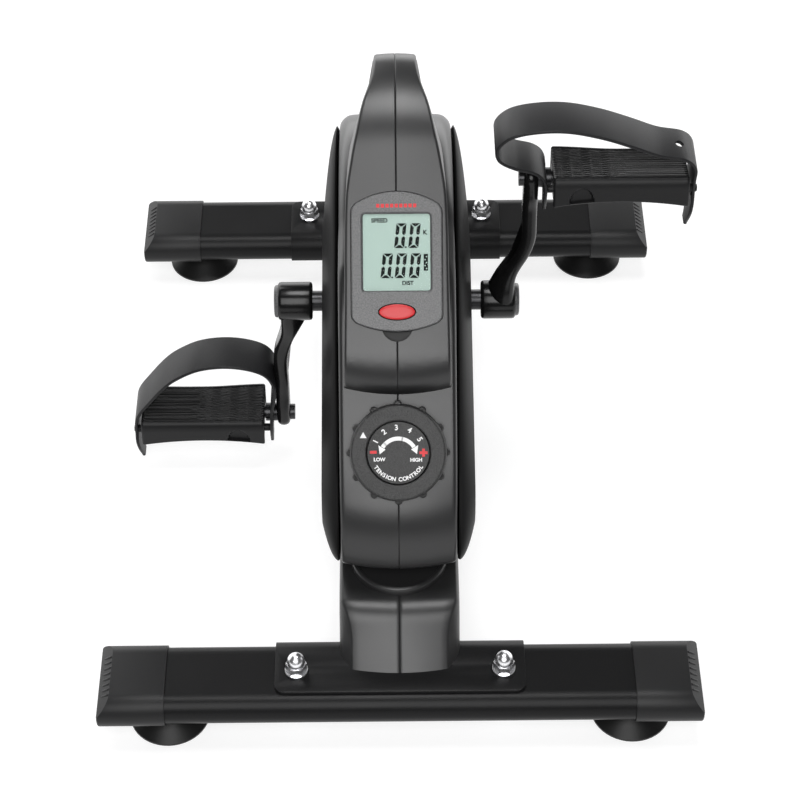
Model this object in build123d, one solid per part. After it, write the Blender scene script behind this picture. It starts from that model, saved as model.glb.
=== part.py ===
from build123d import *
from math import atan2, cos, degrees, hypot, radians, sin, sqrt
import os

# Pedal exerciser. Millimetres, +Z up, +Y away from the person who uses it, +X to their right.
# The origin is on the floor, midway between the two stabilizers.

# ---- driving dimensions -------------------------------------------------------------------
TUBE_LENGTH = 420.0          # over the end caps
TUBE_DEEP = 60.0             # flat-oval section, along Y
TUBE_HIGH = 25.0
TUBE_Z = 32.5                # height of the tube's centre
TUBE_Y = 239.0               # each tube's distance from the middle
TUBE_WALL = 1.5

CAP_LENGTH = 47.0
CAP_SKIN = 1.5
CAP_PLUG = 14.0              # solid outer end of the cap
FOOT_X = 163.0
FOOT_RADIUS = 28.3

SADDLE_HALF = 87.0
SADDLE_THICK = 3.0
NUT_X = 72.0
BOLT_RADIUS = 4.0

CRANK_Y = 16.0
CRANK_Z = 160.0
CRANK_LENGTH = 117.0
AXLE_RADIUS = 7.5
RUNNING_GAP = 0.05

DISC_CENTRE = (30.0, 156.0)  # round part of the housing, seen from the side
DISC_RADIUS = 131.0
NOSE_CENTRE = (-133.0, 110.0)
NOSE_RADIUS = 63.0
CORE_HALF = 40.4             # half-width of the housing between the side covers
COVER_IN = 42.5
COVER_OUT = 53.5
# Rim of the side cover: distance inside its outline, and from the middle plane.
COVER_RIM = ((0, 44.0), (5, 47.0), (14, 50.5), (32, 53.5))
SKIN = 2.5

PANEL = 332.0                # knob panel: the slanted plane z - y = PANEL
DECK = 353.6                 # console deck: the slanted plane z - y = DECK

FLYWHEEL_AT = (-82.0, 132.0)
FLYWHEEL_RADIUS = 57.0
PULLEY_RADIUS = 70.0
SMALL_PULLEY_RADIUS = 14.0
BELT_THICK = 1.8
BELT_GAP = 0.3
PULLEY_LOW = 4.0             # the belt runs between these two X values
PULLEY_HIGH = 13.0
PLATE_IN = 20.0
PLATE_OUT = 23.0

PEDAL_IN = 106.0
PEDAL_OUT = 200.0
PEDAL_DEEP = 43.0
PEDAL_TOP = 8.0              # above the spindle's axis
PEDAL_BOTTOM = -15.0
SPINDLE_RADIUS = 5.0
RIGHT_PEDAL_TILT = -7.0      # degrees about X, far side down
PEDAL_SHIFT = 3.5            # both pedals stand this much towards the belt side, +X

KNOB_SUM = 24.1              # y + z at the knob's centre
KNOB_RADIUS = 34.8
KNOB_HIGH = 14.0
DIAL_RADIUS = 21.3

CONSOLE_SUM = 206.3          # y + z at the console's centre
CONSOLE_HALF = 30.7
CONSOLE_LIP = 2.0
CONSOLE_DEEP = 16.0

STRAP_WIDE = 33.0
STRAP_THICK = 2.4

PARTS = {}


# ---- helpers ------------------------------------------------------------------------------
def add(name, shape):
    """Keep one named piece for export."""
    PARTS[name] = shape


def across(profile, x_low, x_high):
    """Extrude a side profile, drawn with Y and Z, from x_low to x_high."""
    return extrude(Plane.YZ.offset(x_low) * profile, amount=x_high - x_low, dir=(1, 0, 0))


def x_rod(radius, x_low, x_high, y, z):
    """A solid cylinder along X."""
    return across(Pos(y, z) * Circle(radius), x_low, x_high)


def x_ring(outer, inner, x_low, x_high, y, z):
    """A ring around an axis along X."""
    return across(Pos(y, z) * (Circle(outer) - Circle(inner)), x_low, x_high)


def z_rod(radius, z_low, z_high, x, y):
    """A solid cylinder along Z."""
    return extrude(Plane.XY.offset(z_low) * Pos(x, y) * Circle(radius), amount=z_high - z_low)


def side_point(centre, radius, angle):
    """A point of a circle in the side view, angle in degrees from +Y towards +Z."""
    return (centre[0] + radius * cos(radians(angle)), centre[1] + radius * sin(radians(angle)))


def slanted(total, level):
    """The plane z - y = level, facing the user, with its origin where y + z = total."""
    return Plane(origin=(0, (total - level) / 2, (total + level) / 2), x_dir=(1, 0, 0), z_dir=(0, -1, 1))


def lift(plane, profile, low, high):
    """Extrude a profile that lies on a plane from low to high along the plane's normal."""
    return extrude(plane.offset(low) * profile, amount=high - low, dir=plane.z_dir)


def link(start, end, radius):
    """A round-ended bar between two points of the side view."""
    reach = hypot(end[0] - start[0], end[1] - start[1])
    turn = degrees(atan2(end[1] - start[1], end[0] - start[0]))
    middle = ((start[0] + end[0]) / 2, (start[1] + end[1]) / 2)
    return Pos(*middle) * Rot(0, 0, turn) * SlotOverall(reach + 2 * radius, 2 * radius)


def both(shape):
    """The shape and its mirror image across the middle plane."""
    return shape, mirror(shape, about=Plane.YZ)


def group(shapes):
    """Separate solids kept in one node."""
    return Compound(children=[solid for shape in shapes for solid in shape.solids()])


# ---- stabilizers, caps, feet, saddles and fasteners ---------------------------------------
def tube_section(grow):
    """The stabilizer's flat-oval section, grown on every side."""
    return SlotOverall(TUBE_DEEP + 2 * grow, TUBE_HIGH + 2 * grow)


def stabilizer(side):
    """Hollow tube with two bolt holes."""
    half = TUBE_LENGTH / 2 - CAP_PLUG
    section = Pos(side * TUBE_Y, TUBE_Z) * (tube_section(0) - tube_section(-TUBE_WALL))
    tube = across(section, -half, half)
    for x in (-NUT_X, NUT_X):
        tube -= z_rod(BOLT_RADIUS + 0.3, 0, 60, x, side * TUBE_Y)
    return tube


def end_cap(side):
    """Right-hand end cap: sleeve, solid slanted end, ribs on the slant and a pad for the foot."""
    end = TUBE_LENGTH / 2
    inner = end - CAP_LENGTH
    y = side * TUBE_Y
    cap = across(Pos(y, TUBE_Z) * tube_section(CAP_SKIN), inner, end)
    cap = fillet(cap.faces().sort_by(Axis.X)[-1].edges(), 1.5)
    cap -= across(Pos(y, TUBE_Z) * tube_section(0), inner, end - CAP_PLUG)
    top = TUBE_Z + TUBE_HIGH / 2 + CAP_SKIN
    slant = Polygon((end - 9, top + 0.01), (end + 2, top + 0.01), (end + 2, top - 13), align=None)
    cap -= extrude(Plane.XZ * slant, amount=TUBE_Y + TUBE_DEEP, both=True)
    low = TUBE_Z - TUBE_HIGH / 2 - CAP_SKIN
    cap += z_rod(12, low, low + CAP_SKIN, FOOT_X, y)
    return cap


def foot(side):
    """Suction-cup foot with a hollow underside."""
    top = TUBE_Z - TUBE_HIGH / 2 - CAP_SKIN
    cup = Polygon(
        (0, 9), (8, 8), (25.3, 0), (FOOT_RADIUS, 0), (FOOT_RADIUS, 1.6), (13, 12),
        (9.5, 14), (9.5, top), (0, top), align=None,
    )
    return Pos(FOOT_X, side * TUBE_Y, 0) * revolve(Plane.XZ * cup, Axis.Z)


def saddle_envelope(side):
    """The tube with the saddle's thickness all round, used to cut what stands on the saddle."""
    return across(Pos(side * TUBE_Y, TUBE_Z) * tube_section(SADDLE_THICK), -120, 120)


def saddle(side):
    """Steel plate flat on the tube and wrapped round its inner side to below the middle."""
    band = tube_section(SADDLE_THICK) - tube_section(0)
    top = Pos(0, 15) * Rectangle(2 * 19.0, 20)
    wrap = Pos(-side * 30, 5) * Rectangle(2 * 12.5, 22)
    kept = band & (top + wrap)
    plate = across(Pos(side * TUBE_Y, TUBE_Z) * kept, -SADDLE_HALF, SADDLE_HALF)
    outer = plate.edges().filter_by(Axis.Z).sort_by(Axis.Y)
    corners = outer[:2] if side < 0 else outer[-2:]
    plate = fillet(corners, 7)
    for x in (-NUT_X, NUT_X):
        plate -= z_rod(BOLT_RADIUS + 0.3, 40, 55, x, side * TUBE_Y)
    return plate


def fasteners():
    """Carriage bolts from below, washers and dome nuts on the saddles."""
    seat = TUBE_Z + TUBE_HIGH / 2 + SADDLE_THICK
    washer_top = seat + 1.6
    bolts = []
    washers = []
    nuts = []
    for side in (-1, 1):
        for x in (-NUT_X, NUT_X):
            y = side * TUBE_Y
            low = TUBE_Z - TUBE_HIGH / 2
            head = Pos(x, y, low) * revolve(
                Plane.XZ * Polygon((0, -4.2), (5, -3.6), (9.5, -1), (9.5, 0), (0, 0), align=None), Axis.Z)
            bolts.append(head + z_rod(BOLT_RADIUS, low, washer_top + 10, x, y))
            washers.append(z_rod(8.0, seat, washer_top, x, y) - z_rod(BOLT_RADIUS + 0.3, seat, washer_top, x, y))
            body = extrude(Plane.XY.offset(washer_top) * Pos(x, y) * RegularPolygon(7.5, 6), amount=6.5)
            dome = z_rod(6.2, washer_top + 6.5, washer_top + 9, x, y)
            dome += Pos(x, y, washer_top + 9) * (Sphere(6.2) & Pos(0, 0, 4) * Box(20, 20, 8))
            nuts.append(body + dome - z_rod(BOLT_RADIUS, washer_top, washer_top + 10, x, y))
    add("carriage_bolts", group(bolts))
    add("washers", group(washers))
    add("dome_nuts", group(nuts))


def base():
    """Everything from the floor to the saddles."""
    sides = (-1, 1)
    add("stabilizer_tubes", group([stabilizer(side) for side in sides]))
    add("saddles", group([saddle(side) for side in sides]))
    caps = []
    feet = []
    for side in sides:
        caps.extend(both(end_cap(side)))
        feet.extend(both(foot(side)))
    add("end_caps", group(caps))
    add("suction_feet", group(feet))
    fasteners()


# ---- steel structure ----------------------------------------------------------------------
POST_LEVEL = 270.0           # rear post: axis on the plane z - y = POST_LEVEL
POST_WIDE = 40.0
POST_DEEP = 20.0
RUN_TOP = 77.0               # level run of the rear post, under the collar
RUN_DEEP = 11.0
RUN_START = -196.0
RISER_FRONT = -175.0         # upright end of the rear post, inside the nose
RISER_BACK = -157.0
RISER_TOP = 110.0
FRONT_POST_SUM = 270.0       # front post: axis on the plane y + z = FRONT_POST_SUM
FRONT_POST_END = 50.0        # z - y where the front post stops


def slanted_tube(plane, low, high, wall):
    """A rectangular tube along a plane's normal."""
    section = Rectangle(POST_WIDE, POST_DEEP)
    if wall:
        section -= Rectangle(POST_WIDE - 2 * wall, POST_DEEP - 2 * wall)
    return lift(plane, section, low, high)


def rear_post_shape(margin):
    """Rear post drawn in by a margin: a slanted strut, a level run under the collar, and a riser."""
    root = sqrt(2)
    plane = Plane(origin=(0, -POST_LEVEL / 2, POST_LEVEL / 2), x_dir=(1, 0, 0), z_dir=(0, 1, 1))
    wide = POST_WIDE - 2 * margin
    strut = lift(plane, Rectangle(wide, POST_DEEP - 2 * margin), -200 / root, -80 / root)
    strut = strut & Pos(0, -TUBE_Y, (38 + RUN_TOP - margin) / 2) * Box(400, 400, RUN_TOP - margin - 38)
    run_low, run_high = RUN_TOP - RUN_DEEP + margin, RUN_TOP - margin
    run_start, run_end = RUN_START + margin, RISER_BACK - margin
    level = Pos(0, (run_start + run_end) / 2, (run_low + run_high) / 2)
    level = level * Box(wide, run_end - run_start, run_high - run_low)
    riser_front = RISER_FRONT + margin
    riser_top = RISER_TOP + margin
    riser = Pos(0, (riser_front + run_end) / 2, (run_low + riser_top) / 2)
    riser = riser * Box(wide, run_end - riser_front, riser_top - run_low)
    return strut + level + riser


def rear_post_solid(wall):
    """Rear post, or with no wall its outer shape."""
    if wall:
        return rear_post_shape(0.0) - rear_post_shape(wall)
    return rear_post_shape(0.0)


def front_post_solid(wall, grow=0.0):
    """Front post, or with no wall its outer shape."""
    root = sqrt(2)
    middle = FRONT_POST_SUM / 2
    plane = Plane(origin=(0, middle, middle), x_dir=(1, 0, 0), z_dir=(0, -1, 1))
    tube = slanted_tube(plane, -200 / root, FRONT_POST_END / root + grow, wall)
    return tube & Pos(0, TUBE_Y, 148) * Box(400, 400, 220)


PIVOT_AT = side_point(FLYWHEEL_AT, 66, 38)
REAR_JOIN = (-158.0, 112.0)
FRONT_JOIN = (112.0, 158.0)
CRANK_AT = (CRANK_Y, CRANK_Z)
BEARING_RADIUS = 16.0
BEARING_WIDE = 9.0


def frame_plate():
    """Right-hand steel plate that ties the posts and the flywheel axle, with its bearing cup."""
    outline = link(REAR_JOIN, FLYWHEEL_AT, 10) + link(FLYWHEEL_AT, CRANK_AT, 20)
    outline += link(CRANK_AT, FRONT_JOIN, 20) + link(FLYWHEEL_AT, PIVOT_AT, 9)
    outline -= Pos(*CRANK_AT) * Circle(BEARING_RADIUS)
    outline -= Pos(*FLYWHEEL_AT) * Circle(5)
    outline -= Pos(*PIVOT_AT) * Circle(3)
    cup = x_ring(21, BEARING_RADIUS, PLATE_OUT, PLATE_OUT + 9, *CRANK_AT)
    return across(outline, PLATE_IN, PLATE_OUT) + cup


def structure():
    """Posts, plates with their bearing cups, and the bearings."""
    add("rear_post", rear_post_solid(2.0) - saddle_envelope(-1))
    add("front_post", front_post_solid(2.0) - saddle_envelope(1))
    right, left = both(frame_plate())
    add("frame_plate_right", right)
    add("frame_plate_left", left)
    race = PLATE_OUT - 1
    bearing = x_ring(BEARING_RADIUS, AXLE_RADIUS + RUNNING_GAP, race, race + BEARING_WIDE, *CRANK_AT)
    for face in (race, race + BEARING_WIDE - 1):
        bearing -= x_ring(13, 10.5, face, face + 1, *CRANK_AT)
    add("crank_bearings", group(both(bearing)))


# ---- housing ------------------------------------------------------------------------------
NOSE_LIP = (-190.0, 102.0)
HANDLE_CENTRE = (40.0, 279.0)
HANDLE_BEND = 81.0
HANDLE_BACK = 30.0
BELLY_AT = (-18.1, 34.2)     # where the straight underside runs into the round part


def disc_outline(shrink=0.0):
    """Side outline of the round body with the nose and knob panel, drawn inwards by shrink."""
    nose_top = side_point(NOSE_CENTRE, NOSE_RADIUS, 135)
    nose_front = side_point(NOSE_CENTRE, NOSE_RADIUS, 180)
    panel_end = (-66.0, -66.0 + PANEL)
    crown = side_point(DISC_CENTRE, DISC_RADIUS, 115)
    edges = [
        Line(nose_top, panel_end),
        Line(panel_end, crown),
        ThreePointArc(crown, side_point(DISC_CENTRE, DISC_RADIUS, 2), BELLY_AT),
        Line(BELLY_AT, NOSE_LIP),
        Line(NOSE_LIP, nose_front),
        ThreePointArc(nose_front, side_point(NOSE_CENTRE, NOSE_RADIUS, 157.5), nose_top),
    ]
    face = make_face(edges)
    return offset(face, -shrink, kind=Kind.INTERSECTION) if shrink else face


def spine_outline(shrink=0.0):
    """Side outline of the console deck and the handle, drawn inwards by shrink."""
    deck_end = (-118.6, -118.6 + DECK)
    bend = side_point(HANDLE_CENTRE, HANDLE_BEND, 135)
    top = (HANDLE_CENTRE[0], HANDLE_CENTRE[1] + HANDLE_BEND)
    back_centre = (top[0], top[1] - HANDLE_BACK)
    back = (back_centre[0] + HANDLE_BACK, back_centre[1])
    edges = [
        Line((-122.5, -122.5 + PANEL), deck_end),
        Line(deck_end, bend),
        ThreePointArc(bend, side_point(HANDLE_CENTRE, HANDLE_BEND, 112.5), top),
        ThreePointArc(top, side_point(back_centre, HANDLE_BACK, 45), back),
        Line(back, (75.0, 279.0)),
        Line((75.0, 279.0), (60.0, 220.0)),
        Line((60.0, 220.0), (-70.0, 200.0)),
        Line((-70.0, 200.0), (-122.5, -122.5 + PANEL)),
    ]
    face = make_face(edges)
    return offset(face, -shrink, kind=Kind.INTERSECTION) if shrink else face


def grip_outline(grow=0.0):
    """The hand opening between the handle and the round body."""
    hole = Polygon((-38, 255), (-40, 274), (8, 322), (26, 332), (40, 328), (47, 316), (48, 262), align=None)
    return offset(hole, grow, kind=Kind.INTERSECTION) if grow else hole


# Half-width of the spine at values of y + z, from the handle's top down to the deck's end.
SPINE_WIDTHS = ((418, 13.4), (393, 13.6), (359, 21.7), (307, 30.2), (266, 34.2), (165, 35.5), (80, 36.4))


def spine_silhouette(shrink):
    """Outline of the spine seen square to its slanted deck."""
    right = [(width - shrink, total / sqrt(2)) for total, width in SPINE_WIDTHS]
    left = [(-x, t) for x, t in reversed(right)]
    edges = [Spline(right), Line(right[-1], left[0]), Spline(left), Line(left[-1], right[0])]
    face = make_face(edges)
    return extrude(slanted(0, 0) * face, amount=400, both=True)


def core_solid(shrink):
    """The housing's outer shape, or with shrink its inside."""
    half = CORE_HALF - shrink
    disc = across(disc_outline(shrink), -half, half)
    spine = across(spine_outline(shrink), -60, 60) & spine_silhouette(shrink)
    grip = across(grip_outline(shrink), -60, 60)
    rim = x_rod(DISC_RADIUS - shrink, -60, 60, *DISC_CENTRE)
    return disc + spine - (grip - rim)


SCREW_SPOTS = ((-166.0, 130.0), (-58.0, 64.0), (112.0, 84.0), (128.0, 205.0), (36.0, 345.0))
CONSOLE_PLANE = slanted(CONSOLE_SUM, DECK)
KNOB_PLANE = slanted(KNOB_SUM, PANEL)
SEAM_GAP = 0.1


def console_outline(shrink=0.0):
    """Console bezel: straight sides with an arched top and bottom."""
    half = CONSOLE_HALF - shrink
    top = 37.1 - shrink
    bottom = -39.8 + shrink
    edges = [
        Line((half, bottom), (half, top)),
        ThreePointArc((half, top), (0, 47.1 - shrink), (-half, top)),
        Line((-half, top), (-half, bottom)),
        ThreePointArc((-half, bottom), (0, -47.1 + shrink), (half, bottom)),
    ]
    return fillet(make_face(edges).vertices(), 5 - shrink / 2)


def housing():
    """Round body and handle, each in two hollow halves, their screws, post cover and collar."""
    outer = core_solid(0)
    shell = outer - core_solid(SKIN)
    for spot in SCREW_SPOTS:
        shell += x_rod(4.5, -CORE_HALF + 1, CORE_HALF - 1, *spot) & outer
        shell -= x_rod(1.6, -CORE_HALF + 3, CORE_HALF - 6, *spot)
        shell -= x_rod(3.6, -CORE_HALF - 1, -9, *spot)
    shell -= x_rod(AXLE_RADIUS + 1.5, -60, 60, *CRANK_AT)
    shell -= lift(CONSOLE_PLANE, console_outline(1.5), -10, 10)
    shell -= lift(CONSOLE_PLANE, Pos(0, -43.5) * Circle(10.5), -1.5, 3)
    shell -= lift(KNOB_PLANE, Circle(11.4), -6, 6)
    shell -= rear_post_solid(0)
    shell -= front_post_solid(0, 1.0)
    round_zone = across(disc_outline(), -60, 60)
    half_box = Box(100, 700, 800)
    for side, name in ((1, "right"), (-1, "left")):
        half = shell & Pos(side * (50 + SEAM_GAP / 2), 0, 0) * half_box
        add("housing_" + name, half & round_zone)
        add("handle_" + name, half - round_zone)
    screws = []
    for spot in SCREW_SPOTS:
        screws.append(x_rod(3.4, -13, -9, *spot) + x_rod(1.6, -9, 12, *spot))
    add("housing_screws", group(screws))

    sleeve = Polygon((-242, 48), (-213, 77), (-185, 80), (-185, 64), (-197, 48), (-200, 36), (-230, 36), align=None)
    shoulder = Polygon((-213, 77), (-204, 80), (-122, 80), (-122, 66), (-186, 62), (-205, 69), align=None)
    along = Plane(origin=(0, -213, 77), x_dir=(1, 0, 0), z_dir=(0, 1, 1))
    plan = Polygon((-34, -1), (34, -1), (42, 9), (42, 60), (-42, 60), (-42, 9), align=None)
    flared = extrude(along * plan, amount=90, both=True)
    cover = (across(sleeve, -42, 42) & flared) + across(shoulder, -42, 42)
    cover -= x_rod(2.6, -43, -38, -203, 68)
    cavity = Polygon((-238, 48), (-211, 75), (-185, 77.5), (-185, 66), (-199, 48), (-200, 30), (-238, 30), align=None)
    room = Polygon((-211, 74.5), (-203, 77.5), (-119, 77.5), (-119, 68.5), (-185, 64.5), (-203, 71), align=None)
    cover -= across(cavity, -31.5, 31.5) + across(room, -39.5, 39.5)
    cover -= rear_post_solid(0)
    cover -= outer
    cover -= saddle_envelope(-1)
    add("post_cover", cover)
    collar = z_rod(34, 80, 86, 0, -165)
    collar = chamfer(collar.faces().sort_by(Axis.Z)[-1].edges(), 1.5)
    add("post_collar", collar - rear_post_solid(0) - outer)


COVER_NOSE_CENTRE = (-147.0, 118.0)
COVER_NOSE_RADIUS = 40.0
COVER_SPOTS = ((-120.0, 120.0), (20.0, 60.0), (120.0, 160.0), (20.0, 250.0))


def cover_outline(shrink):
    """Side cover: the round body stretched towards the nose."""
    return make_hull([
        *(Pos(*DISC_CENTRE) * Circle(DISC_RADIUS - shrink)).edges(),
        *(Pos(*COVER_NOSE_CENTRE) * Circle(COVER_NOSE_RADIUS - shrink)).edges(),
    ])


def side_covers():
    """Shallow dished covers on both sides, and their screws."""
    cover = across(cover_outline(0), COVER_IN, COVER_RIM[0][1])
    for (inset, x), (next_inset, next_x) in zip(COVER_RIM, COVER_RIM[1:]):
        low_face = Plane.YZ.offset(x) * cover_outline(inset)
        high_face = Plane.YZ.offset(next_x) * cover_outline(next_inset)
        cover += loft([low_face, high_face])
    cover -= across(cover_outline(20), COVER_IN, COVER_OUT - 4.5)
    cover -= across(cover_outline(34), COVER_IN, COVER_OUT - SKIN)
    for spot in COVER_SPOTS:
        cover += x_rod(5, CORE_HALF, COVER_OUT - 1, *spot)
    cover -= x_rod(AXLE_RADIUS + 1.5, 30, 60, *CRANK_AT)
    right, left = both(cover)
    add("side_cover_right", right)
    add("side_cover_left", left)


# ---- crank set ----------------------------------------------------------------------------
ARM_THICK = 10.5
EYE_OUT = 93.0               # outer face of the eye before the shift


def crank_arm(shift):
    """Right-hand crank arm, upright: boss, web, S-bend and eye, the eye shifted outwards."""
    low = CRANK_Z - 14
    high = CRANK_Z + CRANK_LENGTH + 11
    eye_out = EYE_OUT + shift
    eye_in = eye_out - ARM_THICK
    front = Polygon(
        (75, low), (86, low), (86, CRANK_Z + 28), (eye_out, CRANK_Z + 62), (eye_out, high),
        (eye_in, high), (eye_in, CRANK_Z + 64), (75.5, CRANK_Z + 34),
        (64, CRANK_Z + 12), (64, low), align=None,
    )
    bar = extrude(Plane.XZ * front, amount=400, both=True)
    side = make_hull([
        *(Pos(CRANK_Y, CRANK_Z) * Circle(14)).edges(),
        *(Pos(CRANK_Y, CRANK_Z + CRANK_LENGTH) * Circle(10.5)).edges(),
    ])
    arm = bar & across(side, 50, 100)
    arm += x_rod(14, 62, 87, *CRANK_AT)
    arm -= x_rod(AXLE_RADIUS, 60, 80, *CRANK_AT)
    arm -= x_rod(4.2, 79, 83, *CRANK_AT)
    arm -= x_rod(10, 82, 90, *CRANK_AT)
    arm -= x_rod(SPINDLE_RADIUS + 1, 70, 110, CRANK_Y, CRANK_Z + CRANK_LENGTH)
    return arm


def opposite(shape):
    """The other crank: mirrored, then half a turn about the crank's axis."""
    other = mirror(shape, about=Plane.YZ)
    return Pos(0, CRANK_Y, CRANK_Z) * Rot(180, 0, 0) * Pos(0, -CRANK_Y, -CRANK_Z) * other


def pedal_spindle():
    """Right-hand pedal spindle: thread, collar with flats, and the shaft inside the pedal."""
    y = CRANK_Y
    z = CRANK_Z + CRANK_LENGTH
    spindle = x_rod(SPINDLE_RADIUS + 1, 82.5, 95, y, z)
    spindle += x_rod(7, 93, 105, y, z)
    spindle += x_rod(SPINDLE_RADIUS, 105, PEDAL_OUT - 8, y, z)
    return spindle


def crank_set():
    """Axle, arms, bolts, caps, pulley, sensor magnet and the pedal spindles."""
    axle = x_rod(AXLE_RADIUS, -80, 80, *CRANK_AT)
    for x_low, x_high in ((-80, -62), (62, 80)):
        axle -= x_rod(BOLT_RADIUS, x_low, x_high, *CRANK_AT)
    add("crank_axle", axle)
    add("crank_arm_right", crank_arm(PEDAL_SHIFT))
    add("crank_arm_left", opposite(crank_arm(-PEDAL_SHIFT)))
    bolt = x_rod(BOLT_RADIUS, 63, 83, *CRANK_AT) + x_rod(8, 82.99, 85.5, *CRANK_AT)
    add("crank_bolts", group(both(bolt)))
    cap = x_rod(10, 85.5, 88, *CRANK_AT) + x_rod(12.5, 87, 90, *CRANK_AT)
    add("crank_caps", group(both(cap)))
    pulley = x_ring(PULLEY_RADIUS, PULLEY_RADIUS - 6, PULLEY_LOW, PULLEY_HIGH, *CRANK_AT)
    pulley += x_ring(PULLEY_RADIUS - 5, 15, PULLEY_LOW + 3, PULLEY_HIGH - 3, *CRANK_AT)
    pulley += x_ring(17, AXLE_RADIUS, PULLEY_LOW, PULLEY_HIGH + 5, *CRANK_AT)
    for turn in range(5):
        spot = side_point(CRANK_AT, 42, 36 + 72 * turn)
        pulley -= x_rod(11, PULLEY_LOW, PULLEY_HIGH, *spot)
    add("crank_pulley", pulley)
    magnet_at = side_point(CRANK_AT, 60, 0)
    add("sensor_magnet", x_rod(4, PULLEY_HIGH - 3, PULLEY_HIGH + 2, *magnet_at))
    spindle = pedal_spindle()
    add("pedal_spindle_right", Pos(PEDAL_SHIFT, 0, 0) * spindle)
    add("pedal_spindle_left", Pos(PEDAL_SHIFT, 0, 0) * opposite(spindle))


# ---- flywheel, belt and brake -------------------------------------------------------------
def belt_loop(grow):
    """The belt's outline round both pulleys, grown outwards."""
    return make_hull([
        *(Pos(*CRANK_AT) * Circle(PULLEY_RADIUS + BELT_GAP + grow)).edges(),
        *(Pos(*FLYWHEEL_AT) * Circle(SMALL_PULLEY_RADIUS + BELT_GAP + grow)).edges(),
    ])


FLYWHEEL_LOW = -17.0
FLYWHEEL_HIGH = 2.0


def flywheel_set():
    """Flywheel with bearings and pulley, its axle, the belt and the magnet brake."""
    low, high = FLYWHEEL_LOW, FLYWHEEL_HIGH
    wheel = x_ring(FLYWHEEL_RADIUS, 44, low, high, *FLYWHEEL_AT)
    wheel += x_ring(45, 13, low + 6, high - 6, *FLYWHEEL_AT)
    wheel += x_ring(19, 13, low, high, *FLYWHEEL_AT)
    add("flywheel", wheel)
    bore = SPINDLE_RADIUS + RUNNING_GAP
    bearings = [x_ring(13, bore, x, x + 8, *FLYWHEEL_AT) for x in (low + 0.5, high - 8.5)]
    add("flywheel_bearings", group(bearings))
    pulley = x_ring(SMALL_PULLEY_RADIUS, 6, PULLEY_LOW, PULLEY_HIGH, *FLYWHEEL_AT)
    pulley += x_ring(SMALL_PULLEY_RADIUS - 1, 6, high, PULLEY_LOW, *FLYWHEEL_AT)
    add("flywheel_pulley", pulley)
    add("flywheel_axle", x_rod(SPINDLE_RADIUS, -32, 32, *FLYWHEEL_AT))
    hexagon = Pos(*FLYWHEEL_AT) * (RegularPolygon(9.8, 6) - Circle(SPINDLE_RADIUS))
    add("axle_nuts", group(both(across(hexagon, PLATE_OUT, PLATE_OUT + 8))))
    add("drive_belt", across(belt_loop(BELT_THICK) - belt_loop(0), PULLEY_LOW, PULLEY_HIGH))

    def sector(inner, outer, start, end):
        """A piece of ring around the flywheel, between two angles."""
        ring = Circle(outer) - Circle(inner)
        wedge = Polygon(
            (0, 0), (120 * cos(radians(start)), 120 * sin(radians(start))),
            (120 * cos(radians(end)), 120 * sin(radians(end))), align=None,
        )
        return Pos(*FLYWHEEL_AT) * (ring & wedge)

    carrier = across(sector(65, 68, 42, 108), low + 1, high - 1)
    for x in (low + 1, high - 4):
        carrier += across(link(PIVOT_AT, side_point(FLYWHEEL_AT, 66, 50), 5), x, x + 3)
    carrier -= x_rod(3.2, -30, 30, *PIVOT_AT)
    carrier += across(Pos(*side_point(FLYWHEEL_AT, 69, 104)) * Circle(3), low + 4, low + 8)
    blocks = [across(sector(61.5, 65, start, start + 10), low + 3, high - 3) for start in (56, 70, 84, 98)]

    def swung_open(shape):
        """The brake at its lightest setting stands away from the flywheel."""
        pivot = Pos(0, *PIVOT_AT)
        return pivot * Rot(BRAKE_OPEN, 0, 0) * Pos(0, -PIVOT_AT[0], -PIVOT_AT[1]) * shape

    add("magnet_carrier", swung_open(carrier))
    add("brake_magnets", group([swung_open(block) for block in blocks]))
    add("carrier_pin", x_rod(3, -PLATE_OUT - 2, high + 1, *PIVOT_AT))
    hook = side_point(FLYWHEEL_AT, 84, 100)
    spring = x_ring(4, 2.6, -16, -2, *hook)
    add("return_spring", spring)


BRAKE_OPEN = -3.5            # degrees about X


# ---- pedals and straps --------------------------------------------------------------------
def pedal_profile(grow):
    """Pedal section seen from the side, about the spindle's axis: concave top, rounded edges."""
    half = PEDAL_DEEP / 2 + grow
    top = PEDAL_TOP + grow
    bottom = PEDAL_BOTTOM - grow
    edges = [
        Line((-half, bottom), (-half, top)),
        ThreePointArc((-half, top), (0, top - 3), (half, top)),
        Line((half, top), (half, bottom)),
        Line((half, bottom), (-half, bottom)),
    ]
    return fillet(make_face(edges).vertices(), 3.5 + grow / 2)


def pedal_body():
    """Right-hand pedal about the spindle's axis: hollow block, spindle tube and strap nubs."""
    body = across(pedal_profile(0), PEDAL_IN, PEDAL_OUT)
    cavity = across(pedal_profile(-3), PEDAL_IN + 3, PEDAL_OUT - 3)
    opening = Pos((PEDAL_IN + PEDAL_OUT) / 2, 0, -13) * Box(PEDAL_OUT - PEDAL_IN - 16, PEDAL_DEEP - 10, 10)
    body -= cavity
    body += x_rod(8.5, PEDAL_IN + 1, PEDAL_OUT - 1, 0, 0) & across(pedal_profile(-1), PEDAL_IN, PEDAL_OUT)
    for x in (PEDAL_IN + 30, PEDAL_OUT - 33):
        body += across(pedal_profile(-1), x, x + 3)
    body -= opening
    arch = Pos((PEDAL_IN + PEDAL_OUT) / 2, 0, PEDAL_BOTTOM - 156) * Rot(90, 0, 0) * Cylinder(160, 80)
    body -= arch
    body -= x_rod(SPINDLE_RADIUS + RUNNING_GAP, PEDAL_IN - 1, PEDAL_OUT - 6, 0, 0)
    body -= x_rod(8, PEDAL_IN - 1, PEDAL_IN + 0.5, 0, 0)
    return body + strap_nubs(6.0)


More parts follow.
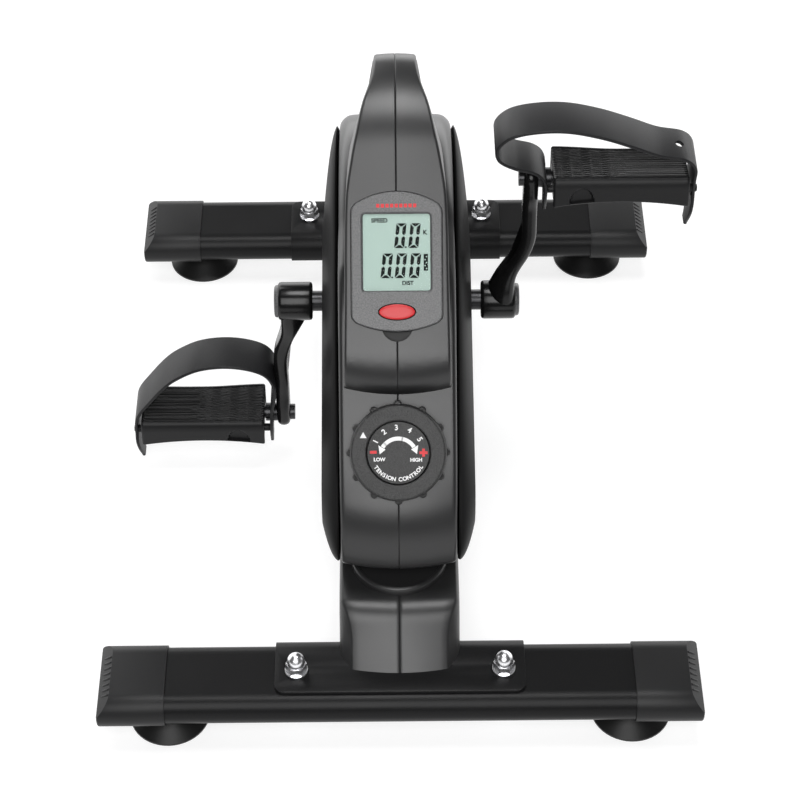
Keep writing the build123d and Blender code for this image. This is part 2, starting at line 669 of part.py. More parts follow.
def strap_nubs(reach):
    """Pegs beside the spindle at both ends of the pedal; the strap's holes sit over them."""
    outer = x_rod(3, PEDAL_OUT - 2, PEDAL_OUT + reach, -13, -4)
    inner = x_rod(3, PEDAL_IN - reach - 1, PEDAL_IN + 2, -13, -4)
    return outer + inner


# Strap centre lines, as distance from the middle plane and height above the spindle.
LEFT_STRAP = (
    (202.8, -25), (204.2, -8), (202.5, 10), (191, 28), (179, 43.5), (168, 53), (153, 61), (136, 64),
    (120, 62.5), (106, 57), (98.7, 48), (96.5, 34), (99.6, 14), (100.2, -3), (100.4, -17),
)
RIGHT_STRAP = (
    (201.8, -25), (203.0, -8), (203.6, 8), (203.4, 19), (196, 27), (178, 31), (159, 39), (138, 47),
    (115, 52.5), (94, 52.5), (76, 48), (66.5, 38), (68, 27.5), (79, 20.5), (92, 16.5), (99.6, 9),
    (100.4, -4), (100.4, -17),
)


def band(points, thickness):
    """A strip of even thickness along a smooth line through the points."""
    outer = []
    inner = []
    last = len(points) - 1
    for index, point in enumerate(points):
        before = points[max(index - 1, 0)]
        after = points[min(index + 1, last)]
        reach = hypot(after[0] - before[0], after[1] - before[1])
        side_x = -(after[1] - before[1]) / reach * thickness / 2
        side_z = (after[0] - before[0]) / reach * thickness / 2
        outer.append((point[0] + side_x, point[1] + side_z))
        inner.append((point[0] - side_x, point[1] - side_z))
    inner.reverse()
    return make_face([Spline(outer), Line(outer[-1], inner[0]), Spline(inner), Line(inner[-1], outer[0])])


def strap(points, turn):
    """Right-hand strap about the spindle's axis, with holes for the nubs and room for the spindle."""
    strip = extrude(Plane.XZ * band(points, STRAP_THICK), amount=STRAP_WIDE / 2, both=True)
    strip -= turn * strap_nubs(10.0)
    strip -= x_rod(8.5, PEDAL_IN - 20, PEDAL_IN, 0, 0)
    return strip


def pedal_set(name, points, tilt, place):
    """Body, strap and counterweight of one pedal."""
    turn = Rot(tilt, 0, 0)
    add("pedal_body_" + name, place(turn * pedal_body()))
    add("pedal_strap_" + name, place(strap(points, turn)))
    weight = Pos((PEDAL_IN + PEDAL_OUT) / 2, 0, -11) * Box(56, 22, 5)
    add("pedal_weight_" + name, place(turn * weight))


def pedals():
    """Right pedal at the top of its circle, left pedal at the bottom."""
    def top_right(shape):
        return Pos(PEDAL_SHIFT, CRANK_Y, CRANK_Z + CRANK_LENGTH) * shape

    def bottom_left(shape):
        return Pos(PEDAL_SHIFT, CRANK_Y, CRANK_Z - CRANK_LENGTH) * mirror(shape, about=Plane.YZ)

    pedal_set("right", RIGHT_STRAP, RIGHT_PEDAL_TILT, top_right)
    pedal_set("left", LEFT_STRAP, 0.0, bottom_left)


# ---- tension knob -------------------------------------------------------------------------
def tension_control():
    """Lobed ring with its cable drum, round a fixed dial, and the cup under the panel."""
    ring = Circle(KNOB_RADIUS - 2.0)
    for lobe in range(12):
        ring += Rot(0, 0, 30 * lobe) * Pos(KNOB_RADIUS - 3.2, 0) * Circle(3.2)
    knob = lift(KNOB_PLANE, ring - Circle(DIAL_RADIUS + 0.3), 0.3, KNOB_HIGH)
    knob += lift(KNOB_PLANE, Circle(DIAL_RADIUS + 1) - Circle(8.3), 0.3, 3.5)
    knob += lift(KNOB_PLANE, Circle(11) - Circle(8.3), -12, 0.5)
    knob += lift(KNOB_PLANE, Circle(15) - Circle(9), -12, -7)
    add("knob_ring", knob)
    dial = lift(KNOB_PLANE, Circle(DIAL_RADIUS), 3.8, KNOB_HIGH - 1) + lift(KNOB_PLANE, Circle(8), -14, 4)
    add("dial_disc", dial)
    cup = lift(KNOB_PLANE, Circle(18), -16, -SKIN) - lift(KNOB_PLANE, Circle(15.5), -13.5, -SKIN)
    cup -= lift(KNOB_PLANE, Circle(8), -14, 0)
    add("tension_cup", cup)
    route = FilletPolyline(
        (-9, -134.0, 190.5), (-9, -127.0, 198.5), (-9, -116.0, 204.5), (-9, -106.5, 210.5), radius=10)
    start = Plane(origin=route @ 0, z_dir=route % 0)
    add("tension_cable", sweep(start * Circle(1.2), path=route))


# ---- console ------------------------------------------------------------------------------
WINDOW_WIDE = 45.3
WINDOW_TALL = 51.6
WINDOW_UP = 6.1              # window's centre above the console's centre
BUTTON_UP = -33.95
BUTTON_TRAVEL = 1.0


def console():
    """Bezel, case, lens, display, board and battery, with the button in its own hole."""
    window = Pos(0, WINDOW_UP) * RectangleRounded(WINDOW_WIDE, WINDOW_TALL, 2)
    oval = Pos(0, BUTTON_UP) * Ellipse(12.1, 5.15)
    room = Pos(0, BUTTON_UP) * Ellipse(12.4, 5.45)
    bezel = lift(CONSOLE_PLANE, console_outline(), 0, CONSOLE_LIP)
    bezel = chamfer(bezel.faces().sort_by(SortBy.AREA)[-2:].sort_by(Axis.Z)[-1].edges(), 0.8)
    bezel -= lift(CONSOLE_PLANE, window + room, -1, 3)
    add("console_bezel", bezel)
    case = lift(CONSOLE_PLANE, console_outline(2.0), -CONSOLE_DEEP, 0)
    case -= lift(CONSOLE_PLANE, console_outline(3.8), -CONSOLE_DEEP + 1.8, 0)
    add("console_case", case)
    add("console_lens", lift(CONSOLE_PLANE, window, 0.6, 1.6))
    panel = Pos(0, WINDOW_UP) * RectangleRounded(WINDOW_WIDE + 3, WINDOW_TALL + 3, 2)
    add("lcd_panel", lift(CONSOLE_PLANE, panel, -2.6, -0.1))
    board = Pos(0, 0) * RectangleRounded(48, 74, 3)
    add("console_board", lift(CONSOLE_PLANE, board, -5.6, -4))
    cell = Plane(CONSOLE_PLANE.offset(-9.9).origin, x_dir=(1, 0, 0), z_dir=(0, 1, 1))
    add("battery", extrude(cell * Circle(4.1), amount=22, both=True))
    add("mode_button", lift(CONSOLE_PLANE, oval, -2.2, CONSOLE_LIP + 1.2))
    socket = Pos(0, -10) * Rectangle(14, 9)
    add("console_socket", lift(CONSOLE_PLANE, socket, -CONSOLE_DEEP - 7, -CONSOLE_DEEP - 0.6))


def electrics():
    """Reed sensor on the right plate and its lead up to the console's socket."""
    sensor = Pos(18.2, CRANK_Y + 60, CRANK_Z) * Box(3.4, 10, 16)
    add("reed_sensor", sensor)
    route = FilletPolyline(
        (18.5, 76, 168), (18.5, 76, 196), (18, 52, 223), (17, 12, 239), (9, -34, 242), (3, -66, 252),
        radius=9)
    start = Plane(origin=route @ 0, z_dir=route % 0)
    add("sensor_lead", sweep(start * Circle(1.2), path=route))


def main():
    """Build every piece and write one STEP file for each."""
    base()
    structure()
    housing()
    side_covers()
    crank_set()
    flywheel_set()
    pedals()
    tension_control()
    console()
    electrics()
    os.makedirs("parts", exist_ok=True)
    for name, shape in PARTS.items():
        export_step(shape, "parts/" + name + ".step")
    print(len(PARTS), "nodes")


main()
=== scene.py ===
from math import acos, atan2, cos, degrees, exp, hypot, pi, radians, sin, sqrt, tan

import bmesh
import bpy
from mathutils import Matrix, Vector

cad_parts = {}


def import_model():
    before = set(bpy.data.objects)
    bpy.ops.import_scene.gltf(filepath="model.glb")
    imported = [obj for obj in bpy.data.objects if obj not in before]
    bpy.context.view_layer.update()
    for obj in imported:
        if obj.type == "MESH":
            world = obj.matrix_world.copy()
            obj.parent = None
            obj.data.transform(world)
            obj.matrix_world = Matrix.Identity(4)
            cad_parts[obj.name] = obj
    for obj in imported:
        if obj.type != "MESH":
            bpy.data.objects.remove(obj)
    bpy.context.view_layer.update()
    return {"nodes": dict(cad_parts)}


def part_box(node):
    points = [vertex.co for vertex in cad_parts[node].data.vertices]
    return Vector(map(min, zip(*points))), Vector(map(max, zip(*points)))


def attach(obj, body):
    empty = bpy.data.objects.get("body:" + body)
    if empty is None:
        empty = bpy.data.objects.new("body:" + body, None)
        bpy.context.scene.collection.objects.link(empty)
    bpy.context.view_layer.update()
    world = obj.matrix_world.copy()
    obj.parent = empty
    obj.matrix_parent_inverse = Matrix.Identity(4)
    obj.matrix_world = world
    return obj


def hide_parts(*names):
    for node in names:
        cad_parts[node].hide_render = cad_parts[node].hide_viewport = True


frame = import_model()
NODES = frame["nodes"]

# Pedal exerciser. The frame is in metres; sizes and places below are in millimetres.
# +X is the right-hand side of the person pedalling, +Y points away from them, +Z is up.
MM = 0.001
ROOT2 = sqrt(2)
FLIP_X = Matrix.Scale(-1, 4, (1, 0, 0))


def box_mm(node):
    """Lowest and highest corner of a CAD node, in millimetres."""
    return [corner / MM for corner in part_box(node)]


# ---- driving dimensions ---------------------------------------------------------------------
AXLE_BOX = box_mm("crank_axle")
CRANK = ((AXLE_BOX[0].y + AXLE_BOX[1].y) / 2, (AXLE_BOX[0].z + AXLE_BOX[1].z) / 2)
COVER_BOX = box_mm("side_cover_right")
DISC_RADIUS = (COVER_BOX[1].z - COVER_BOX[0].z) / 2
DISC = (COVER_BOX[1].y - DISC_RADIUS, COVER_BOX[1].z - DISC_RADIUS)
COVER_OUT = COVER_BOX[1].x
COVER_IN = 41.3
STRIP_FLAT = 37.6            # half-width of the flat strip between the side covers
NOSE = (-133.0, 110.0)
NOSE_RADIUS = 63.0
COVER_NOSE = (-147.0, 118.0)
COVER_NOSE_RADIUS = 40.0

PANEL = 332.0                # knob panel: the plane z - y = PANEL
DECK = 353.6                 # console deck: the plane z - y = DECK
KNOB_SUM = 24.1              # y + z at the knob's centre
CONSOLE_SUM = 206.3          # y + z at the console's centre

CRANK_LENGTH = 117.0
ARM_THICK = 10.5
PEDAL_SHIFT = 3.5            # both pedals stand this much towards +X
PEDAL_IN = 106.0
PEDAL_OUT = 200.0
PEDAL_TILT = -7.0            # right pedal, degrees about X
STRAP_HALF = 16.5
STRAP_THICK = 2.4


# ---- mesh helpers ---------------------------------------------------------------------------
def linked(name, data):
    """A new object in the scene."""
    piece = bpy.data.objects.new(name, data)
    bpy.context.scene.collection.objects.link(piece)
    return piece


def finished(tool, name, look):
    """A mesh of one material from a bmesh, which is then freed."""
    mesh = bpy.data.meshes.new(name)
    tool.to_mesh(mesh)
    tool.free()
    mesh.materials.append(look)
    return mesh


def new_object(name, points, faces, look, smooth_angle=40.0):
    """A mesh object from points in millimetres, shaded smooth up to an angle."""
    mesh = bpy.data.meshes.new(name)
    mesh.from_pydata([[value * MM for value in point] for point in points], [], faces)
    tool = bmesh.new()
    tool.from_mesh(mesh)
    bmesh.ops.remove_doubles(tool, verts=tool.verts, dist=0.00001)
    bmesh.ops.recalc_face_normals(tool, faces=tool.faces)
    tool.to_mesh(mesh)
    tool.free()
    mesh.materials.append(look)
    piece = linked(name, mesh)
    shade(piece, smooth_angle)
    return piece


def shade(piece, angle):
    """Smooth shading, with edges sharper than the angle kept sharp."""
    for face in piece.data.polygons:
        face.use_smooth = True
    piece.data.set_sharp_from_angle(angle=radians(angle))


def join(pieces, name):
    """Several objects of one material made into one."""
    tool = bmesh.new()
    look = pieces[0].data.materials[0]
    for piece in pieces:
        piece.data.transform(piece.matrix_world)
        tool.from_mesh(piece.data)
        bpy.data.objects.remove(piece)
    return linked(name, finished(tool, name, look))


def mirrored(piece, name):
    """A copy of a piece on the other side of the middle plane."""
    mesh = piece.data.copy()
    mesh.transform(FLIP_X)
    mesh.flip_normals()
    return linked(name, mesh)


def moved(piece, matrix):
    """Bake a transform, with its translation in millimetres, into a piece's mesh."""
    scaled = matrix.copy()
    scaled.translation = matrix.translation * MM
    piece.data.transform(scaled)
    if scaled.determinant() < 0:
        piece.data.flip_normals()
    return piece


def apply_modifiers(piece):
    """Bake a piece's modifiers into its mesh."""
    graph = bpy.context.evaluated_depsgraph_get()
    mesh = bpy.data.meshes.new_from_object(piece.evaluated_get(graph))
    piece.modifiers.clear()
    piece.data = mesh
    return piece


def grid_faces(rows, columns, wrap_rows=False, wrap_columns=False):
    """Quads of a grid of points stored row by row."""
    faces = []
    for row in range(rows - (0 if wrap_rows else 1)):
        for column in range(columns - (0 if wrap_columns else 1)):
            after_row = (row + 1) % rows
            after_column = (column + 1) % columns
            faces.append((
                row * columns + column, row * columns + after_column,
                after_row * columns + after_column, after_row * columns + column,
            ))
    return faces


def lofted(name, rings, look, smooth_angle=40.0, close_start=True, close_end=True):
    """Skin over closed rings with the same number of points."""
    count = len(rings[0])
    points = [point for ring in rings for point in ring]
    faces = grid_faces(len(rings), count, wrap_columns=True)
    if close_start:
        faces.append(tuple(range(count)))
    if close_end:
        faces.append(tuple(range((len(rings) - 1) * count, len(rings) * count)))
    return new_object(name, points, faces, look, smooth_angle)


def rod(name, profile, steps, look, smooth_angle=40.0, y=0.0, z=0.0):
    """A turned part about a line along X, from (radius, x) pairs."""
    return lofted(name, [hoop(x, radius, steps, y, z) for radius, x in profile], look, smooth_angle)


def aimed(start, end):
    """Turns +Z towards the end and moves the origin to the start; both in millimetres."""
    turn = (end - start).to_track_quat("Z", "Y").to_matrix().to_4x4()
    return Matrix.Translation(start * MM) @ turn


def place(piece, body, slot, *nodes):
    """Attach a piece to its body and hide the CAD nodes that it stands for; the slot argument is not used."""
    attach(piece, body)
    if nodes:
        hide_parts(*nodes)
    return piece


def place_pair(piece, other_name, slot, node):
    """A right-hand piece of the frame and its mirror image, for a node on either side."""
    other = mirrored(piece, other_name)
    place(piece, "frame", slot, node + "_right")
    place(other, "frame", slot, node + "_left")


def arc(centre, radius, start, end, steps):
    """Points along an arc, angles in degrees."""
    return [
        (centre[0] + radius * cos(radians(start + (end - start) * k / steps)),
         centre[1] + radius * sin(radians(start + (end - start) * k / steps)))
        for k in range(steps + 1)
    ]


def hoop(x, radius, steps, y=0.0, z=0.0):
    """Points round a circle that faces along X."""
    return [
        (x, y + radius * cos(2 * pi * k / steps), z + radius * sin(2 * pi * k / steps))
        for k in range(steps)
    ]


def oval(half_wide, half_tall, up, steps=72):
    """Points round an oval on a slope."""
    return [
        (half_wide * cos(2 * pi * k / steps), up + half_tall * sin(2 * pi * k / steps))
        for k in range(steps)
    ]


def run(start, end, steps):
    """Points along a straight run, without its ends."""
    return [
        tuple(a + (b - a) * k / steps for a, b in zip(start, end))
        for k in range(1, steps)
    ]


def smoothstep(low, high, value):
    """0 below low, 1 above high, smooth between."""
    share = min(max((value - low) / (high - low), 0.0), 1.0)
    return share * share * (3 - 2 * share)


def read_table(table, value):
    """Smooth reading of (key, value) pairs whose keys fall."""
    if value >= table[0][0]:
        return table[0][1]
    for index in range(len(table) - 1):
        (high, first), (low, second) = table[index], table[index + 1]
        if value >= low:
            before = table[max(index - 1, 0)]
            after = table[min(index + 2, len(table) - 1)]
            slope_in = (second - before[1]) / (low - before[0]) if before[0] != low else 0.0
            slope_out = (after[1] - first) / (after[0] - high) if after[0] != high else 0.0
            reach = low - high
            t = (value - high) / reach
            return (
                first * (2 * t ** 3 - 3 * t ** 2 + 1) + slope_in * reach * (t ** 3 - 2 * t ** 2 + t)
                + second * (3 * t ** 2 - 2 * t ** 3) + slope_out * reach * (t ** 3 - t ** 2)
            )
    return table[-1][1]


def outward_normals(outline):
    """Unit normals of a closed outline, pointing outwards."""
    area = 0.0
    count = len(outline)
    for index in range(count):
        here, after = outline[index], outline[(index + 1) % count]
        area += here[0] * after[1] - after[0] * here[1]
    sign = 1 if area > 0 else -1
    normals = []
    for index in range(count):
        before, after = outline[index - 1], outline[(index + 1) % count]
        reach = hypot(after[0] - before[0], after[1] - before[1])
        scale = sign / reach
        normals.append((scale * (after[1] - before[1]), -scale * (after[0] - before[0])))
    return normals


def cross(first, second):
    """Cross product of two flat vectors."""
    return first[0] * second[1] - first[1] * second[0]


def inset(outline, amount):
    """A closed outline drawn inwards."""
    normals = outward_normals(outline)
    return [(x - nx * amount, y - ny * amount) for (x, y), (nx, ny) in zip(outline, normals)]


def slope(total, level):
    """Maps (u, v, n) on a 45-degree slope, about the point with y + z = total, to frame points."""
    y0 = (total - level) / 2
    z0 = (total + level) / 2

    def at(u, v, n):
        return (u, y0 + (v - n) / ROOT2, z0 + (v + n) / ROOT2)
    return at


ON_KNOB = slope(KNOB_SUM, PANEL)
ON_CONSOLE = slope(CONSOLE_SUM, DECK)
SLOPE_TURN = Matrix(((1, 0, 0), (0, 1 / ROOT2, -1 / ROOT2), (0, 1 / ROOT2, 1 / ROOT2))).to_4x4()


def slab(name, outline, rows, put, look, smooth_angle=40.0, close_start=True):
    """A plate from an outline: rows give how far inside it each level lies, and the level."""
    rings = [[put(u, v, n) for u, v in inset(outline, amount)] for amount, n in rows]
    return lofted(name, rings, look, smooth_angle, close_start)


def turned(name, profile, centre, look, steps=96, smooth_angle=35.0):
    """A turned part about a vertical axis, from (radius, height) pairs."""
    rings = []
    for radius, z in profile:
        rings.append([
            (centre[0] + radius * cos(2 * pi * k / steps), centre[1] + radius * sin(2 * pi * k / steps), z)
            for k in range(steps)
        ])
    return lofted(name, rings, look, smooth_angle)


def flat_marks(name, polygons, put, low, high, look):
    """Printed marks: thin plates on a slope."""
    points = []
    faces = []
    for polygon in polygons:
        first = len(points)
        count = len(polygon)
        points += [put(u, v, low) for u, v in polygon] + [put(u, v, high) for u, v in polygon]
        faces.append(tuple(range(first + count, first + 2 * count)))
        faces.append(tuple(range(first + count - 1, first - 1, -1)))
        for k in range(count):
            after = (k + 1) % count
            faces.append((first + k, first + after, first + count + after, first + count + k))
    return new_object(name, points, faces, look, 20)


def lettering(text, height, put, spot, level, look, turn=0.0, bold=0.0):
    """Generic lettering on a slope; height is that of a capital, spot its middle."""
    curve = bpy.data.curves.new("letters", "FONT")
    curve.body = text
    curve.size = height / 0.69
    curve.align_x = "CENTER"
    curve.align_y = "CENTER"
    curve.offset = bold
    curve.extrude = 0.03
    holder = linked("letters", curve)
    graph = bpy.context.evaluated_depsgraph_get()
    graph.update()
    mesh = bpy.data.meshes.new_from_object(holder.evaluated_get(graph))
    bpy.data.objects.remove(holder)
    mesh.materials.clear()
    mesh.materials.append(look)
    origin = Vector(put(spot[0], spot[1], level)) * MM
    mesh.transform(Matrix.Translation(origin) @ SLOPE_TURN @ Matrix.Rotation(radians(turn), 4, "Z")
                   @ Matrix.Scale(MM, 4))
    return linked("letters", mesh)


def rounded_rectangle(half_wide, half_tall, radius, steps=6, centre=(0.0, 0.0)):
    """Closed outline of a rectangle with rounded corners."""
    outline = []
    for corner, (sx, sy) in enumerate(((1, 1), (-1, 1), (-1, -1), (1, -1))):
        middle = (centre[0] + sx * (half_wide - radius), centre[1] + sy * (half_tall - radius))
        outline += arc(middle, radius, 90 * corner, 90 * corner + 90, steps)
    return outline


def softened(node, width, look, body, slot, segments=3, angle=32.0):
    """The CAD node's own shape with its edges rounded."""
    mesh = NODES[node].data.copy()
    tool = bmesh.new()
    tool.from_mesh(mesh)
    bmesh.ops.remove_doubles(tool, verts=tool.verts, dist=0.000005)
    bmesh.ops.dissolve_limit(tool, angle_limit=radians(0.8), verts=tool.verts, edges=tool.edges)
    tool.to_mesh(mesh)
    tool.free()
    mesh.materials.clear()
    mesh.materials.append(look)
    piece = linked(node + "_moulded", mesh)
    bevel = piece.modifiers.new("Edges", "BEVEL")
    bevel.width = width * MM
    bevel.segments = segments
    bevel.limit_method = "ANGLE"
    bevel.angle_limit = radians(angle)
    apply_modifiers(piece)
    shade(piece, 40)
    return place(piece, body, slot, node)


# ---- materials ------------------------------------------------------------------------------
CLOUD_SCALE = 22.0           # broad unevenness of the gloss, repeats per metre
LEAST_ROUGH = 0.02
BUMP_SHARE = 0.4             # height of the grain, as a share of its size


def material(name, colour, rough, metal=0.0, grain=0.0, grain_size=0.5, spread=0.05, speck=0.12,
             coat=0.0, specular=0.5, alpha=1.0):
    """A surface with grain, uneven roughness and slight colour variation, sizes in millimetres."""
    made = bpy.data.materials.new(name)
    made.use_nodes = True
    nodes = made.node_tree.nodes
    links = made.node_tree.links
    shader = nodes["Principled BSDF"]
    for socket, value in (("Metallic", metal), ("Specular IOR Level", specular), ("Coat Weight", coat),
                          ("Coat Roughness", 0.08), ("Alpha", alpha)):
        shader.inputs[socket].default_value = value
    where = nodes.new("ShaderNodeTexCoord")

    def noise(scale, detail):
        texture = nodes.new("ShaderNodeTexNoise")
        texture.inputs["Scale"].default_value = scale
        texture.inputs["Detail"].default_value = detail
        links.new(where.outputs["Object"], texture.inputs["Vector"])
        return texture.outputs["Fac"]

    roughness = nodes.new("ShaderNodeMapRange")
    roughness.inputs["To Min"].default_value = max(LEAST_ROUGH, rough - spread)
    roughness.inputs["To Max"].default_value = rough + spread
    links.new(noise(CLOUD_SCALE, 5.0), roughness.inputs["Value"])
    links.new(roughness.outputs["Result"], shader.inputs["Roughness"])

    fine = noise(1.0 / (grain_size * MM), 3.0)
    ramp = nodes.new("ShaderNodeValToRGB")
    for element, position, change in zip(ramp.color_ramp.elements, (0.35, 0.65), (-speck, speck)):
        element.position = position
        element.color = [value * (1 + change) for value in colour] + [1]
    links.new(fine, ramp.inputs["Fac"])
    links.new(ramp.outputs["Color"], shader.inputs["Base Color"])
    if grain:
        bump = nodes.new("ShaderNodeBump")
        bump.inputs["Strength"].default_value = grain
        bump.inputs["Distance"].default_value = grain_size * MM * BUMP_SHARE
        links.new(fine, bump.inputs["Height"])
        links.new(bump.outputs["Normal"], shader.inputs["Normal"])
    return made


HOUSING = material("housing_plastic", (0.018, 0.018, 0.0185), 0.34, grain=0.16, grain_size=0.45)
COVER = material("cover_plastic", (0.013, 0.013, 0.0132), 0.36, grain=0.10, grain_size=0.5,
                 specular=0.008)
CAP = material("cap_plastic", (0.012, 0.012, 0.0125), 0.42, grain=0.25, grain_size=0.5, specular=0.22)
STEEL = material("black_powder_coat", (0.009, 0.009, 0.0094), 0.34, grain=0.10, grain_size=0.9,
                 specular=0.13)
FOOT = material("foot_rubber", (0.008, 0.008, 0.008), 0.40, grain=0.10, grain_size=0.8, specular=0.28)
ZINC = material("bright_zinc", (0.90, 0.90, 0.92), 0.30, metal=1.0, grain=0.02, grain_size=0.6, speck=0.03)
ENAMEL = material("crank_enamel", (0.006, 0.006, 0.0062), 0.22, grain=0.04, grain_size=3.0, coat=0.05,
                  specular=0.25)
PEDAL = material("pedal_plastic", (0.009, 0.009, 0.0095), 0.40, grain=0.25, grain_size=0.4, specular=0.2)
STRAP = material("strap_rubber", (0.014, 0.014, 0.015), 0.42, grain=0.3, grain_size=0.6, specular=0.2)
KNOB = material("knob_plastic", (0.016, 0.016, 0.016), 0.46, grain=0.9, grain_size=1.1, speck=0.5)
DIAL = material("dial_plastic", (0.016, 0.016, 0.016), 0.46, grain=0.9, grain_size=1.0, speck=0.5)
BEZEL = material("bezel_plastic", (0.080, 0.080, 0.082), 0.34, grain=0.45, grain_size=0.9, speck=0.35)
DARK = material("inner_plastic", (0.02, 0.02, 0.02), 0.6, grain=0.3)
BARE_STEEL = material("bare_steel", (0.42, 0.42, 0.43), 0.32, metal=1.0, grain=0.1, grain_size=0.4)
SPINDLE = material("black_oxide", (0.035, 0.035, 0.037), 0.32, metal=0.7, grain=0.1)
IRON = material("cast_iron", (0.16, 0.16, 0.165), 0.5, metal=1.0, grain=0.5, grain_size=0.8)
NICKEL = material("magnet_nickel", (0.66, 0.64, 0.6), 0.22, metal=1.0, grain=0.04)
ALUMINIUM = material("cast_aluminium", (0.62, 0.62, 0.63), 0.45, metal=1.0, grain=0.3)
BELT = material("belt_rubber", (0.015, 0.015, 0.015), 0.7, grain=0.4)
BOARD = material("board_green", (0.015, 0.11, 0.04), 0.4, grain=0.1)
CELL = material("battery_wrap", (0.35, 0.05, 0.03), 0.35, grain=0.05)
LCD = material("lcd_green", (0.40, 0.53, 0.475), 0.45, grain=0.02, grain_size=0.35, spread=0.02, speck=0.02,
               specular=0.15)
INK = material("lcd_ink", (0.006, 0.009, 0.008), 0.6, grain=0.02, specular=0.02)
WHITE = material("white_print", (0.82, 0.82, 0.82), 0.5, grain=0.1, grain_size=0.3, speck=0.03)
RED = material("red_print", (0.62, 0.012, 0.018), 0.5, grain=0.1, grain_size=0.3, speck=0.05)
BUTTON = material("button_red", (0.55, 0.010, 0.014), 0.38, grain=0.2, grain_size=0.4, speck=0.06)


LENS = material("lens_clear", (0.3, 0.32, 0.31), 0.06, grain=0.02, grain_size=2.0, spread=0.03, speck=0.02,
                alpha=0.02)

# Nodes that keep their own shape. The others get pieces of their own, further down.
NODE_LOOKS = (
    (STEEL, "stabilizer_tubes rear_post front_post frame_plate_right frame_plate_left"),
    (FOOT, "suction_feet"),
    (ZINC, "dome_nuts washers carriage_bolts"),
    (SPINDLE, "housing_screws crank_bolts axle_nuts crank_axle pedal_spindle_right pedal_spindle_left"),
    (BARE_STEEL, "crank_bearings flywheel_bearings flywheel_axle carrier_pin return_spring"),
    (IRON, "flywheel pedal_weight_right pedal_weight_left"),
    (DARK, "crank_pulley flywheel_pulley tension_cup console_socket reed_sensor tension_cable"),
    (DARK, "sensor_lead console_case"),
    (BELT, "drive_belt"),
    (NICKEL, "brake_magnets sensor_magnet"),
    (ALUMINIUM, "magnet_carrier"),
    (LENS, "console_lens"),
    (LCD, "lcd_panel"),
    (BOARD, "console_board"),
    (CELL, "battery"),
)
for look, names in NODE_LOOKS:
    for node in names.split():
        for holder in NODES[node].material_slots:
            holder.material = look


# ---- side covers ----------------------------------------------------------------------------
INNER_DISC = (DISC, DISC_RADIUS - 78.0)
INNER_NOSE = ((-136.0, 118.0), 22.0)
COVER_LIP = 0.012            # how far inside its outline the rim starts, as a share of the way in


def hull_points(big, small, steps):
    """Outline round two circles, as the same number of points whatever their sizes."""
    (big_centre, big_radius), (small_centre, small_radius) = big, small
    along = (small_centre[0] - big_centre[0], small_centre[1] - big_centre[1])
    heading = degrees(atan2(along[1], along[0]))
    lean = degrees(acos((big_radius - small_radius) / hypot(*along)))
    far_side = arc(big_centre, big_radius, heading + lean, heading + 360 - lean, steps * 4)
    near_side = arc(small_centre, small_radius, heading - lean, heading + lean, steps)
    straights = [run(far_side[-1], near_side[0], 14), run(near_side[-1], far_side[0], 14)]
    return far_side + straights[0] + near_side + straights[1]


def shoulder_share(y, z):
    """How rounded the body's shoulders are: crisp round the nose and panel, full over the disc."""
    return max(smoothstep(140, 250, y + z), smoothstep(-40, 20, y))


def side_cover():
    """Right-hand cover: a dished lid whose rim rises like the side of a lens."""
    outer = hull_points((DISC, DISC_RADIUS), (COVER_NOSE, COVER_NOSE_RADIUS), 36)
    inner = hull_points(INNER_DISC, INNER_NOSE, 36)
    rise = COVER_OUT - COVER_IN
    steps = 26
    levels = [(0.16, 0.0), (0.08, 0.0), (0.03, 0.0)]
    for k in range(steps + 1):
        share = (k / steps) ** 2
        levels.append((share, rise * sqrt((share + COVER_LIP) / (1 + COVER_LIP))))
    rings = []
    for share, height in levels:
        ring = []
        for (a, b), (c, d) in zip(outer, inner):
            start = COVER_LIP + 0.10 * shoulder_share(a, b)
            part = start + (1 - start) * share
            ring.append((COVER_IN + height, a + (c - a) * part, b + (d - b) * part))
        rings.append(ring)
    return lofted("side_cover_lid_right", rings, COVER, 60, close_start=False)


place_pair(side_cover(), "side_cover_lid_left", "cover_plastic", "side_cover")


# ---- round body -----------------------------------------------------------------------------
# Half of the V-groove along the middle: x, depth.
SEAM_GROOVE = ((0.0, 0.7), (0.14, 0.22), (0.40, 0.03))


PANEL_END = -66.0            # y where the knob panel ends, under the console
DISC_START = 115             # degrees round the disc where the round outline starts and stops
DISC_STOP = -111.5


def core_outline():
    """Side outline of the round body with the nose and the knob panel."""
    nose_top = (NOSE[0] - NOSE_RADIUS / ROOT2, NOSE[1] + NOSE_RADIUS / ROOT2)
    panel_end = (PANEL_END, PANEL_END + PANEL)
    round_part = arc(DISC, DISC_RADIUS, DISC_START, DISC_STOP, 100)
    lip = (-186.5, 100.3)
    outline = [nose_top] + run(nose_top, panel_end, 16) + [panel_end] + run(panel_end, round_part[0], 6)
    outline += round_part + run(round_part[-1], lip, 16) + [lip, (-190.5, 100.4), (-193.6, 102.6)]
    outline += arc(NOSE, NOSE_RADIUS, 183, 135, 20)[:-1]
    return outline


# Edge of the strip: x, depth where it is crisp, depth where the shoulders are rounded.
STRIP_EDGE = (
    (31.0, 0.0, 0.1), (33.5, 0.0, 0.5), (35.5, 0.0, 1.3), (37.0, 0.0, 2.4), (37.6, 0.05, 3.0),
    (38.3, 0.3, 3.7), (39.0, 0.8, 4.6), (39.6, 1.6, 5.6), (40.0, 2.6, 6.6), (40.2, 3.8, 7.8),
    (40.2, 12.0, 18.0),
)


